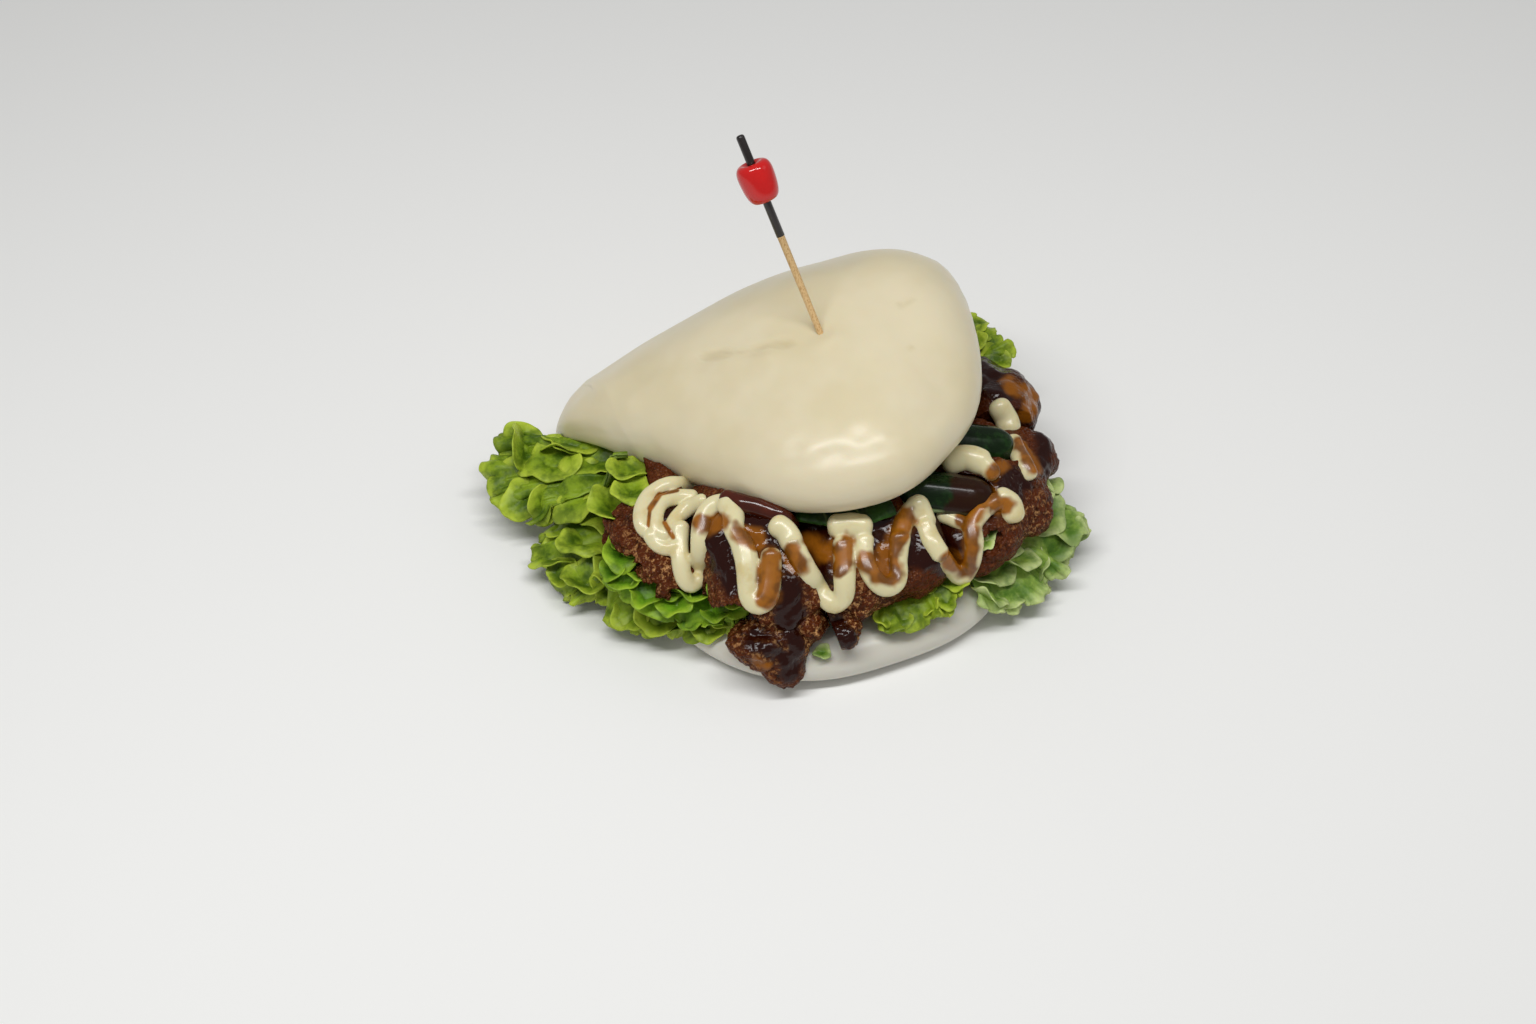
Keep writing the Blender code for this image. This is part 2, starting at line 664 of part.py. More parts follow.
def turned(name, stations, start, way, sides):
    """Solid of revolution from (distance along, radius) stations; a closed loop of them makes a ring."""
    up = np.array(way, float)
    up /= np.linalg.norm(up)
    side = np.cross(up, (1.0, 0.0, 0.0))
    side /= np.linalg.norm(side)
    other = np.cross(up, side)
    points = []
    rings = []
    for distance, radius in stations:
        at = np.array(start, float) + up * distance
        if radius == 0:
            rings.append([len(points)] * sides)
            points.append(tuple(at))
            continue
        rings.append([len(points) + k for k in range(sides)])
        for k in range(sides):
            turn = 2 * math.pi * k / sides
            points.append(tuple(at + side * radius * math.cos(turn) + other * radius * math.sin(turn)))
    closed = stations[0][1] > 0 and stations[-1][1] > 0
    pairs = list(zip(rings, rings[1:])) + ([(rings[-1], rings[0])] if closed else [])
    faces = []
    for low, high in pairs:
        for k in range(sides):
            n = (k + 1) % sides
            corners = [low[k], low[n], high[n], high[k]]
            faces.append([c for i, c in enumerate(corners) if c != corners[i - 1]])
    return mesh_object(name, points, faces)


def pick_stations(grow=0.0):
    """Profile of the pick from its sharp end; grown, it is the hole that it stands in."""
    top = PICK_BELOW + PICK_ABOVE
    r = PICK_PAINTED_RADIUS + grow
    return [
        (-grow, 0),
        (0.6, 0.25 + grow),
        (7.0, 0.72 * PICK_RADIUS + grow),
        (PICK_BELOW, 0.85 * PICK_RADIUS + grow),
        (PICK_BELOW + PICK_PAINTED_FROM - 0.2, PICK_RADIUS + grow),
        (PICK_BELOW + PICK_PAINTED_FROM, r),
        (top - 0.6, r),
        (top - 0.1 + grow, 0.7 * r),
        (top + grow, 0),
    ]


def pick_start():
    """Sharp end of the pick."""
    way = np.array(PICK_DIRECTION) / np.linalg.norm(PICK_DIRECTION)
    return np.array(PICK_ENTRY) - way * PICK_BELOW


def pick():
    """The pick, one stick with a sharp end."""
    return turned("pick", pick_stations(), pick_start(), PICK_DIRECTION, 10)


def pick_hole(name):
    """Room for the pick."""
    return turned(name, pick_stations(0.3), pick_start(), PICK_DIRECTION, 10)


def bead():
    """The barrel-shaped bead, bored for the pick."""
    half = BEAD_LENGTH / 2
    bore = PICK_PAINTED_RADIUS + 0.3
    profile = []
    for k in range(9):
        turn = math.pi * (k / 8 - 0.5)
        flat = math.copysign(abs(math.sin(turn)) ** 0.75, math.sin(turn))
        radius = 1.9 + (BEAD_RADIUS * (1 + BEAD_TAPER * flat) - 1.9) * max(0.0, math.cos(turn)) ** 0.6
        profile.append((half * (1 + flat), radius))
    profile[0] = (0.35, 2.4)
    profile[-1] = (BEAD_LENGTH - 0.35, 2.4)
    profile += [(BEAD_LENGTH - 1.1, bore), (1.1, bore)]
    way = np.array(PICK_DIRECTION) / np.linalg.norm(PICK_DIRECTION)
    return turned("bead", profile, pick_start() + (PICK_BELOW + BEAD_FROM_ENTRY) * way, PICK_DIRECTION, 16)


def directions(count):
    """Evenly spread directions, as a spiral over a sphere."""
    k = np.arange(count) + 0.5
    z = 1 - 2 * k / count
    turn = k * math.pi * (3 - math.sqrt(5))
    r = np.sqrt(1 - z * z)
    return np.stack([r * np.cos(turn), r * np.sin(turn), z], axis=1)


def hull_faces(points):
    """Triangles of the convex hull of points that all lie on it."""
    work = bmesh.new()
    verts = [work.verts.new(p) for p in points]
    work.verts.index_update()
    bmesh.ops.convex_hull(work, input=verts)
    bmesh.ops.triangulate(work, faces=work.faces[:])
    faces = [tuple(v.index for v in f.verts) for f in work.faces]
    work.free()
    return faces


def lobes_reach(centre, ways, lobes, longest=60.0):
    """Distance along each way from the centre to the skin of lobes that run softly into each other."""
    steps = np.arange(0.5, longest, 0.5)
    at = centre + ways[:, None, :] * steps[None, :, None]
    total = np.zeros(at.shape[:2])
    for middle, half in zip(lobes[::2], lobes[1::2]):
        depth = np.linalg.norm((at - np.array(middle, float)) / np.array(half, float), axis=2)
        total += np.exp(-6.0 * (depth - 1))
    inside = total > 1
    last = inside.shape[1] - 1 - np.argmax(inside[:, ::-1], axis=1)
    row = np.arange(len(ways))
    a = np.log(total[row, last])
    b = np.log(total[row, np.minimum(last + 1, len(steps) - 1)])
    return steps[last] + 0.5 * a / np.maximum(a - b, 1e-9)


def crust(point):
    """Height of the fried crust's crags at a point, about 0 on average."""
    p = Vector(point) / CRUST_GRAIN
    near = noise.voronoi(p)[0][0]
    return CRUST_RELIEF * (0.6 - 1.3 * near + 0.5 * noise.noise(p * 1.7))


def clear_reach(centre, ways, reach, solids):
    """Reach cut back so that the faces between neighbouring ways stay clear of the solids."""
    spread = 0.62 * math.sqrt(4 * math.pi / len(ways))
    result = reach.copy()
    for i, way in enumerate(ways):
        side = np.cross(way, (0.3, 0.5, 0.81))
        side /= np.linalg.norm(side)
        other = np.cross(way, side)
        fan = [way]
        for ring, count in ((0.4, 6), (0.8, 12), (1.15, 18)):
            for k in range(count):
                turn = 2 * math.pi * k / count
                fan.append(way + ring * spread * (side * math.cos(turn) + other * math.sin(turn)))
        for cast in fan:
            cast = Vector(cast).normalized()
            hit = solids.ray_cast(Vector(centre), cast, float(reach[i]) + 2.0)
            if hit[0] is not None:
                shallow = max(abs(hit[1].dot(cast)), 0.4)
                result[i] = min(result[i], hit[3] - 1.3 * GAP / shallow)
    return result


def lump(name, lobes, planes, solids, count):
    """One lump of lobes with a craggy crust, stopped short of planes and of solids."""
    ways = directions(count)
    centre = np.array(lobes[0], float)
    reach = lobes_reach(centre, ways, lobes)
    reach += np.array([crust(centre + w * r) for w, r in zip(ways, reach)])
    for at, facing in planes:
        slope = ways @ facing
        limit = ((at - centre) @ facing - GAP / 2) / np.maximum(slope, 1e-6)
        reach = np.where(slope > 0, np.minimum(reach, limit), reach)
    reach = np.maximum(clear_reach(centre, ways, reach, solids), 1.0)
    return mesh_object(name, centre + ways * reach[:, None], hull_faces(ways))


def seams_of(name):
    """Planes that stop a piece, each as a point and an outward direction."""
    planes = []
    for first, second, at, facing in SEAMS:
        way = np.array(facing) / np.linalg.norm(facing)
        if name == first:
            planes.append((np.array(at, float), way))
        elif name == second:
            planes.append((np.array(at, float), -way))
    return planes


def chicken(name, solids, leaves):
    """One piece of fried chicken, its lumps joined and any leaf that it presses on let into it."""
    planes = seams_of(name)
    lumps = []
    for i, lobes in enumerate(CHICKEN[name]):
        count = CHICKEN_POINTS if i == 0 else CHICKEN_POINTS // 4
        lumps.append(lump(f"{name}_lump", lobes, planes, solids, count))
    piece = lumps[0]
    piece.name = name
    if len(lumps) > 1:
        combine(piece, lumps[1:], "UNION")
    for pressed in leaves:
        if surface_of(piece).overlap(surface_of(pressed)):
            combine(piece, [room_for(pressed)], "DIFFERENCE", "MANIFOLD")
    keep_largest_body(piece)
    return piece


def spout_axes():
    """Across, up and toward the spout."""
    out = np.array(SPOUT) / np.linalg.norm(SPOUT)
    across = np.cross((0, 0, 1), out)
    across /= np.linalg.norm(across)
    return across, np.cross(out, across), out


def stroke_line(stroke, filling, step):
    """Centres of one piped stroke where it lies on the filling, softened over the dips."""
    across, up, out = spout_axes()
    _, length = curve_through(stroke, [0, 1])
    count = max(4, int(round(length / step)) + 1)
    flat, _ = curve_through(stroke, np.linspace(0, 1, count))
    height = np.full(count, np.nan)
    for i, (u, v) in enumerate(flat):
        start = across * u + up * v + out * 120
        hit = filling.ray_cast(Vector(start), Vector(-out))
        if hit[0] is not None:
            height[i] = 120 - hit[3]
    known = ~np.isnan(height)
    height = np.interp(np.arange(count), np.arange(count)[known], height[known])
    reach = max(1, int(round(3.0 / step)))
    padded = np.pad(height, reach, mode="edge")
    soft = np.array([padded[i : i + 2 * reach + 1].mean() for i in range(count)])
    height = np.maximum(soft, height - 0.8) + 0.15 * PIPED_HEIGHT
    return flat[:, :1] * across + flat[:, 1:] * up + height[:, None] * out


def piped(name, stroke, filling):
    """One piped stroke: a flattened round bead with blunt ends."""
    line = stroke_line(stroke, filling, PIPED_STEP)
    out = spout_axes()[2]
    way = np.gradient(line, axis=0)
    way /= np.linalg.norm(way, axis=1, keepdims=True)
    ends = (line[0] - way[0] * PIPED_WIDTH * 0.42, line[-1] + way[-1] * PIPED_WIDTH * 0.42)
    points = []
    for i, at in enumerate(line):
        side = np.cross(out, way[i])
        side /= np.linalg.norm(side)
        rise = np.cross(way[i], side)
        blunt = 0.72 if i in (0, len(line) - 1) else 1.0
        for k in range(PIPED_SIDES):
            turn = 2 * math.pi * k / PIPED_SIDES
            across = side * math.cos(turn) * PIPED_WIDTH / 2
            points.append(at + (across + rise * math.sin(turn) * PIPED_HEIGHT / 2) * blunt)
    first = len(points)
    points += [ends[0], ends[1]]
    faces = []
    for i in range(len(line) - 1):
        for k in range(PIPED_SIDES):
            a = i * PIPED_SIDES + k
            b = i * PIPED_SIDES + (k + 1) % PIPED_SIDES
            faces.append((a, b, b + PIPED_SIDES, a + PIPED_SIDES))
    for k in range(PIPED_SIDES):
        n = (k + 1) % PIPED_SIDES
        tail = (len(line) - 1) * PIPED_SIDES
        faces.append((first, n, k))
        faces.append((first + 1, tail + k, tail + n))
    return mesh_object(name, points, faces)


def cell_of(name):
    """The room a chicken piece has between its seams, as a box cut by them."""
    work = bmesh.new()
    bmesh.ops.create_cube(work, size=300.0)
    for at, facing in seams_of(name):
        bmesh.ops.bisect_plane(
            work,
            geom=work.verts[:] + work.edges[:] + work.faces[:],
            plane_co=at - facing * GAP / 2,
            plane_no=facing,
            clear_outer=True,
        )
        bmesh.ops.holes_fill(work, edges=[e for e in work.edges if len(e.link_faces) < 2])
    points = [tuple(v.co) for v in work.verts]
    work.verts.index_update()
    faces = [tuple(v.index for v in f.verts) for f in work.faces]
    work.free()
    return mesh_object(f"{name}_cell", points, faces)


def copy_of(obj, name):
    """A separate copy of an object."""
    twin = bpy.data.objects.new(name, obj.data.copy())
    bpy.context.scene.collection.objects.link(twin)
    return twin


def pipe_mayonnaise(pieces, sticks, others):
    """Pipes the mayonnaise over the filling and joins it to the pieces that it lies on."""
    filling = surface_of(*pieces, *sticks)
    beads = [piped(f"stroke_{i}", stroke, filling) for i, stroke in enumerate(STROKES)]
    mayonnaise = combine(beads[0], beads[1:], "UNION")
    for other in [*sticks, *others]:
        combine(mayonnaise, [room_for(other)], "DIFFERENCE", "MANIFOLD")
    for piece in pieces:
        share = copy_of(mayonnaise, "share")
        combine(share, [cell_of(piece.name)], "INTERSECT")
        combine(piece, [share], "UNION")
        keep_largest_body(piece)
    bpy.data.objects.remove(mayonnaise)


def finish(obj):
    """Gives a node a material of its own."""
    colour, roughness = FINISHES[obj.name.split("_")[0]]
    material = bpy.data.materials.new(f"{obj.name}_surface")
    material.use_nodes = True
    shader = next(n for n in material.node_tree.nodes if n.type == "BSDF_PRINCIPLED")
    shader.inputs["Base Color"].default_value = (*colour, 1.0)
    shader.inputs["Roughness"].default_value = roughness
    material.diffuse_color = (*colour, 1.0)
    obj.data.materials.clear()
    obj.data.materials.append(material)


def main():
    """Builds every node."""
    for obj in list(bpy.data.objects):
        bpy.data.objects.remove(obj)
    dough = bun()
    pick()
    bead()
    leaves = []
    for seed, name in enumerate(LEAVES):
        below = surface_of(*leaves) if leaves else None
        new = leaf(name, surface_of(dough), below, seed)
        for other in [dough, *leaves]:
            combine(new, [room_for(other)], "DIFFERENCE", "MANIFOLD")
        keep_largest_body(new)
        leaves.append(new)
    sticks = [cucumber(name) for name in CUCUMBERS]
    solids = surface_of(dough, *leaves, *sticks)
    pieces = [chicken(name, solids, leaves) for name in CHICKEN]
    pipe_mayonnaise(pieces, sticks, [dough, *leaves])
    for pierced in (dough, bpy.data.objects["chicken_middle"]):
        combine(pierced, [pick_hole("hole")], "DIFFERENCE")
        keep_largest_body(pierced)
    for obj in bpy.data.objects:
        finish(obj)


main()
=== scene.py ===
"""Dresses a folded steamed bun with fried chicken, lettuce, cucumber and piped mayonnaise on its CAD frame.

Sizes in the classes are in millimetres and MM turns them to metres. X runs along the bun's fold, the
open side faces -Y, and the origin is the middle of the flat underside, as in the frame.
"""

import logging
import math
from collections.abc import Iterable, Iterator
from dataclasses import dataclass, field
from enum import Enum

import bmesh
import bpy
import numpy as np
from mathutils import Matrix, Vector, noise
from mathutils.bvhtree import BVHTree


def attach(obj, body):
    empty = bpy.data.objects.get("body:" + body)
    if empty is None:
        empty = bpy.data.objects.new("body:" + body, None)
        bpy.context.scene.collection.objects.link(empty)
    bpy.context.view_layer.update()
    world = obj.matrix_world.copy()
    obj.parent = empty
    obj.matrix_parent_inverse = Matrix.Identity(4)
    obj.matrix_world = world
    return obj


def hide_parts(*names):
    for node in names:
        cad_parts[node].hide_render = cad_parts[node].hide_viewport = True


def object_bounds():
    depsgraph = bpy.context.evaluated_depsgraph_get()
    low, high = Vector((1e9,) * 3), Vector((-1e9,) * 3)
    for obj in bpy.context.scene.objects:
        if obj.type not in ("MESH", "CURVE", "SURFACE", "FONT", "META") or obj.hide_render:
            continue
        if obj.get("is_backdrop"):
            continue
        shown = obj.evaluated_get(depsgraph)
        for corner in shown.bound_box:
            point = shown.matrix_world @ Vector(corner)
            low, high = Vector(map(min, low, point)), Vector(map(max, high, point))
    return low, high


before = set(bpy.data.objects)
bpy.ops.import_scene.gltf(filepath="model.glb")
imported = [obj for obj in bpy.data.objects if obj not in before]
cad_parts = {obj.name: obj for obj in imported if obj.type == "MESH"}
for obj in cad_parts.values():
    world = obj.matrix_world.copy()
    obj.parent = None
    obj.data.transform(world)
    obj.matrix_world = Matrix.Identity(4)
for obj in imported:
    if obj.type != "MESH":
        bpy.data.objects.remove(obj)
CAD_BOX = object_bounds()

MM = 0.001
LOG = logging.getLogger("chicken_bao")

# Settings that several nodes share.
RGBA = {"data_type": "RGBA"}
SOFT_RISE = {"interpolation_type": "SMOOTHSTEP"}
MULTIPLY = {"operation": "MULTIPLY"}


def hex_colour(code: str) -> tuple[float, float, float, float]:
    """Turns an sRGB hex value to a linear colour.

    Args:
        code: six hex digits after a hash sign.

    Returns:
        red, green, blue and alpha.
    """
    shares = [int(code[i : i + 2], 16) / 255 for i in (1, 3, 5)]
    linear = [c / 12.92 if c <= 0.04045 else ((c + 0.055) / 1.055) ** 2.4 for c in shares]
    return (linear[0], linear[1], linear[2], 1.0)


def add_node(
    tree: bpy.types.NodeTree, kind: str, settings: dict | None = None, inputs: dict | None = None
) -> bpy.types.Node:
    """Adds a node with its settings and links.

    Args:
        tree: the nodes of a material.
        kind: the node's type name after "ShaderNode".
        settings: properties of the node.
        inputs: by socket name or number, a value, the output that feeds it, or the node whose first
            output does.

    Returns:
        the node.
    """
    node = tree.nodes.new(f"ShaderNode{kind}")
    for name, value in (settings or {}).items():
        setattr(node, name, value)
    for name, value in (inputs or {}).items():
        if isinstance(value, bpy.types.Node):
            value = value.outputs[0]
        if isinstance(value, bpy.types.NodeSocket):
            tree.links.new(value, node.inputs[name])
        else:
            node.inputs[name].default_value = value
    return node


def per_mm(size: float) -> float:
    """Scale of a texture node whose features are to be this many millimetres."""
    return 1.0 / (size * MM)


def lattice(cells: np.ndarray, seed: int) -> np.ndarray:
    """Repeatable value from 0 to 1 for each whole-number cell.

    Args:
        cells: cell numbers, three to a row.
        seed: which set of values.

    Returns:
        one value per cell.
    """
    c = cells.astype(np.int64)
    h = (c[..., 0] * 374761393 + c[..., 1] * 668265263 + c[..., 2] * 1013904223 + seed * 69069) & 0xFFFFFFFF
    h = ((h ^ (h >> 13)) * 1274126177) & 0xFFFFFFFF
    h = h ^ (h >> 16)
    return (h & 0xFFFFFF) / 0xFFFFFF


def soft_noise(points: np.ndarray, size: float, seed: int) -> np.ndarray:
    """Smooth noise.

    Args:
        points: where, in millimetres.
        size: width of its bumps in millimetres.
        seed: which noise.

    Returns:
        values from -1 to 1.
    """
    p = points / size
    base = np.floor(p)
    part = p - base
    part = part * part * (3 - 2 * part)
    total = np.zeros(points.shape[:-1])
    for corner in range(8):
        step = np.array([corner & 1, corner >> 1 & 1, corner >> 2])
        total += np.prod(np.where(step == 1, part, 1 - part), axis=-1) * lattice(base + step, seed)
    return 2 * total - 1


def pebbles(points: np.ndarray, size: float, seed: int) -> np.ndarray:
    """Rounded grains that touch, as in a crust.

    Args:
        points: where, in millimetres.
        size: width of a grain in millimetres.
        seed: which grains.

    Returns:
        0 at a grain's middle, near 1 between grains.
    """
    p = points / size
    base = np.floor(p)
    nearest = np.full(points.shape[:-1], 9.0)
    for k in range(27):
        cell = base + np.array([k % 3 - 1, k // 3 % 3 - 1, k // 9 - 1])
        spot = cell + np.stack([lattice(cell, seed * 7 + axis) for axis in range(3)], axis=-1)
        nearest = np.minimum(nearest, ((p - spot) ** 2).sum(-1))
    return np.sqrt(nearest)


def smooth_step(values: np.ndarray, low: float, high: float) -> np.ndarray:
    """Soft rise from 0 at low to 1 at high."""
    t = np.clip((values - low) / (high - low), 0, 1)
    return t * t * (3 - 2 * t)


def fair(stations: tuple, values: tuple, x: float | np.ndarray) -> np.ndarray:
    """Smooth curve through stations.

    Args:
        stations: where the values are given.
        values: the values there.
        x: where the curve is read.

    Returns:
        the curve's value, with slopes from the neighbouring stations.
    """
    s = np.asarray(stations, float)
    v = np.asarray(values, float)
    slopes = np.gradient(v, s)
    i = np.clip(np.searchsorted(s, x) - 1, 0, len(s) - 2)
    width = s[i + 1] - s[i]
    t = (x - s[i]) / width
    return (
        (1 + 2 * t) * (1 - t) ** 2 * v[i]
        + t * (1 - t) ** 2 * width * slopes[i]
        + t * t * (3 - 2 * t) * v[i + 1]
        + t * t * (t - 1) * width * slopes[i + 1]
    )


def curve_through(points: tuple, shares: np.ndarray) -> tuple[np.ndarray, float]:
    """Smooth curve through points.

    Args:
        points: the points in order.
        shares: where along its length it is read, from 0 to 1.

    Returns:
        the points read and the curve's length.
    """
    p = np.asarray(points, float)
    chord = np.concatenate([[0], np.cumsum(np.linalg.norm(np.diff(p, axis=0), axis=1) ** 0.5)])
    fine = np.linspace(0, chord[-1], 400)
    dense = np.stack([fair(chord, p[:, k], fine) for k in range(p.shape[1])], axis=1)
    length = np.concatenate([[0], np.cumsum(np.linalg.norm(np.diff(dense, axis=0), axis=1))])
    where = np.asarray(shares) * length[-1]
    read = np.stack([np.interp(where, length, dense[:, k]) for k in range(p.shape[1])], axis=1)
    return read, float(length[-1])


def near_line(points: np.ndarray, line: np.ndarray) -> np.ndarray:
    """Distance from each point to a line of straight steps.

    Args:
        points: where, in as many dimensions as the line.
        line: the line's points.

    Returns:
        one distance per point.
    """
    best = np.full(points.shape[:-1], 1e9)
    for a, b in zip(line[:-1], line[1:]):
        step = b - a
        t = np.clip(((points - a) @ step) / max(float(step @ step), 1e-9), 0, 1)
        best = np.minimum(best, np.linalg.norm(points - a - t[..., None] * step, axis=-1))
    return best


def grid_faces(rows: int, columns: int, start: int = 0, flip: bool = False) -> np.ndarray:
    """Four-sided faces of a grid of points.

    Args:
        rows: points along the first way.
        columns: points along the second way.
        start: number of the grid's first point.
        flip: whether the faces look the other way.

    Returns:
        the faces, four point numbers to a row.
    """
    index = start + np.arange(rows * columns).reshape(rows, columns)
    faces = np.stack([index[:-1, :-1], index[1:, :-1], index[1:, 1:], index[:-1, 1:]], axis=-1).reshape(-1, 4)
    return faces[:, ::-1] if flip else faces


def grid_normals(grid: np.ndarray) -> np.ndarray:
    """Directions square to a grid of points."""
    normal = np.cross(np.gradient(grid, axis=0), np.gradient(grid, axis=1))
    return normal / np.maximum(np.linalg.norm(normal, axis=2, keepdims=True), 1e-9)


def tree_of(*objects: bpy.types.Object) -> BVHTree:
    """One tree for ray casts against objects.

    Args:
        objects: the objects.

    Returns:
        the tree, in millimetres.
    """
    points: list = []
    faces: list = []
    for obj in objects:
        start = len(points)
        mesh = obj.data
        co = np.zeros(len(mesh.vertices) * 3)
        mesh.vertices.foreach_get("co", co)
        points.extend((co.reshape(-1, 3) / MM).tolist())
        mesh.calc_loop_triangles()
        corners = np.zeros(len(mesh.loop_triangles) * 3, np.int32)
        mesh.loop_triangles.foreach_get("vertices", corners)
        faces.extend((corners.reshape(-1, 3) + start).tolist())
    return BVHTree.FromPolygons(points, faces)


def make_mesh(
    name: str, points: np.ndarray, faces: list, marks: dict[str, np.ndarray] | None = None
) -> bpy.types.Object:
    """Smooth-shaded object.

    Args:
        name: the object's name.
        points: its points in millimetres.
        faces: point numbers of its faces.
        marks: values at the points that its material reads, by name.

    Returns:
        the object, in metres.
    """
    mesh = bpy.data.meshes.new(name)
    mesh.from_pydata((np.asarray(points) * MM).tolist(), [], faces)
    mesh.shade_smooth()
    obj = bpy.data.objects.new(name, mesh)
    bpy.context.scene.collection.objects.link(obj)
    write_marks(obj, marks or {})
    return obj


def write_marks(obj: bpy.types.Object, marks: dict[str, np.ndarray]) -> None:
    """Writes values at an object's points for its material.

    Args:
        obj: the object.
        marks: the values by name.
    """
    for name, values in marks.items():
        layer = obj.data.attributes.new(name, "FLOAT", "POINT")
        layer.data.foreach_set("value", np.asarray(values, np.float32).ravel())


def points_of(obj: bpy.types.Object) -> np.ndarray:
    """An object's points.

    Args:
        obj: the object.

    Returns:
        the points, in millimetres.
    """
    co = np.zeros(len(obj.data.vertices) * 3)
    obj.data.vertices.foreach_get("co", co)
    return co.reshape(-1, 3) / MM


def with_modifiers(obj: bpy.types.Object) -> None:
    """Makes an object's modifiers part of its mesh.

    Args:
        obj: the object.
    """
    graph = bpy.context.evaluated_depsgraph_get()
    mesh = bpy.data.meshes.new_from_object(obj.evaluated_get(graph))
    obj.modifiers.clear()
    old = obj.data
    obj.data = mesh
    bpy.data.meshes.remove(old)
    mesh.shade_smooth()


def settle(obj: bpy.types.Object, material: bpy.types.Material, nodes: tuple[str, ...]) -> None:
    """Gives a piece its finish and its place in the frame.

    Args:
        obj: the piece.
        material: its finish.
        nodes: the CAD nodes that it stands for, if any.
    """
    obj.data.materials.clear()
    obj.data.materials.append(material)
    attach(obj, "root")
    if nodes:
        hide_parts(*nodes)
    LOG.info("%s: %d faces for %s", obj.name, len(obj.data.polygons), ", ".join(nodes) or "no node")


def new_material(
    name: str,
) -> tuple[bpy.types.Material, bpy.types.NodeTree, bpy.types.Node, bpy.types.NodeSocket]:
    """An empty material.

    Args:
        name: the material's name.

    Returns:
        the material, its nodes, its output node and the object's own coordinates.
    """
    material = bpy.data.materials.new(name)
    material.use_nodes = True
    tree = material.node_tree
    tree.nodes.clear()
    output = add_node(tree, "OutputMaterial")
    return material, tree, output, add_node(tree, "TexCoord").outputs["Object"]


class Sauce(Enum):
    """The two sauces on the filling."""

    DARK = "dark"
    AMBER = "amber"


class LeafTone(Enum):
    """How green a leaf is: its shade, its body, and its rim, painted lighter as a painted glow."""

    BRIGHT = ("#44600E", "#86A022", "#B4C640")
    DEEP = ("#3C6410", "#6C9A1E", "#A2C034")
    PALE = ("#507622", "#92AE4C", "#CBD894")
    # DARK is a leaf painted near black green: painted shade for the leaf under the upper flap's rim.
    DARK = ("#0D1E08", "#1B3A10", "#35601A")


@dataclass(frozen=True)
class SteamedDough:
    """Steamed wheat dough: a smooth matt skin with a soft sheen, milky because light goes a little way in."""

    cream: str = "#DACEAB"
    pale: str = "#E0D5B6"
    # fold colours the lower flap paler and greyer: a painted sheen standing in for its gloss.
    fold: str = "#D3D0C4"
    # The next colour is painted shade, brown, laid in the creases and nicks.
    crease_shade: str = "#BCA878"

    def material(self) -> bpy.types.Material:
        """Builds the dough's material.

        Returns:
            the material.
        """
        material, tree, output, place = new_material("steamed_wheat_dough")
        cloud = add_node(tree, "TexNoise", inputs={
            "Vector": place, "Scale": per_mm(24), "Detail": 3.0, "Roughness": 0.5
        })
        cloudy = add_node(tree, "MapRange", SOFT_RISE, {"Value": cloud, "From Min": 0.35, "From Max": 0.65})
        body = add_node(tree, "Mix", RGBA, {0: cloudy, 6: hex_colour(self.cream), 7: hex_colour(self.pale)})
        # The lower flap is painted paler and greyer, a painted sheen for its gloss.
        lower = add_node(tree, "Attribute", {"attribute_name": "lower_flap"})
        flapped = add_node(tree, "Mix", RGBA, {
            0: lower.outputs["Fac"], 6: body.outputs[2], 7: hex_colour(self.fold)
        })
        # Painted shade: the creases and nicks are painted brown.
        groove = add_node(tree, "Attribute", {"attribute_name": "crease_shade"})
        creased = add_node(tree, "Mix", RGBA, {
            0: groove.outputs["Fac"], 6: flapped.outputs[2], 7: hex_colour(self.crease_shade)
        })
        # Steamed skin puckers finely, about 3 mm apart, which breaks its sheen up.
        wrinkles = add_node(tree, "TexNoise", inputs={
            "Vector": place, "Scale": per_mm(3), "Detail": 0.0, "Roughness": 0.5
        })
        skin = add_node(tree, "Bump", inputs={"Strength": 0.025, "Distance": 0.0004, "Height": wrinkles})
        sheen = add_node(tree, "MapRange", inputs={
            "Value": wrinkles,
            "From Min": 0.3,
            "From Max": 0.7,
            "To Min": 0.28,
            "To Max": 0.33,
        })
        shader = add_node(tree, "BsdfPrincipled", inputs={
            "Base Color": creased.outputs[2],
            "Roughness": sheen,
            "IOR": 1.42,
            "Subsurface Weight": 0.35,
            "Subsurface Radius": (1.0, 0.62, 0.34),
            "Subsurface Scale": 0.003,
            "Coat Weight": 0.12,
            "Coat Roughness": 0.26,
            "Normal": skin,
        })
        tree.links.new(shader.outputs[0], output.inputs[0])
        return material


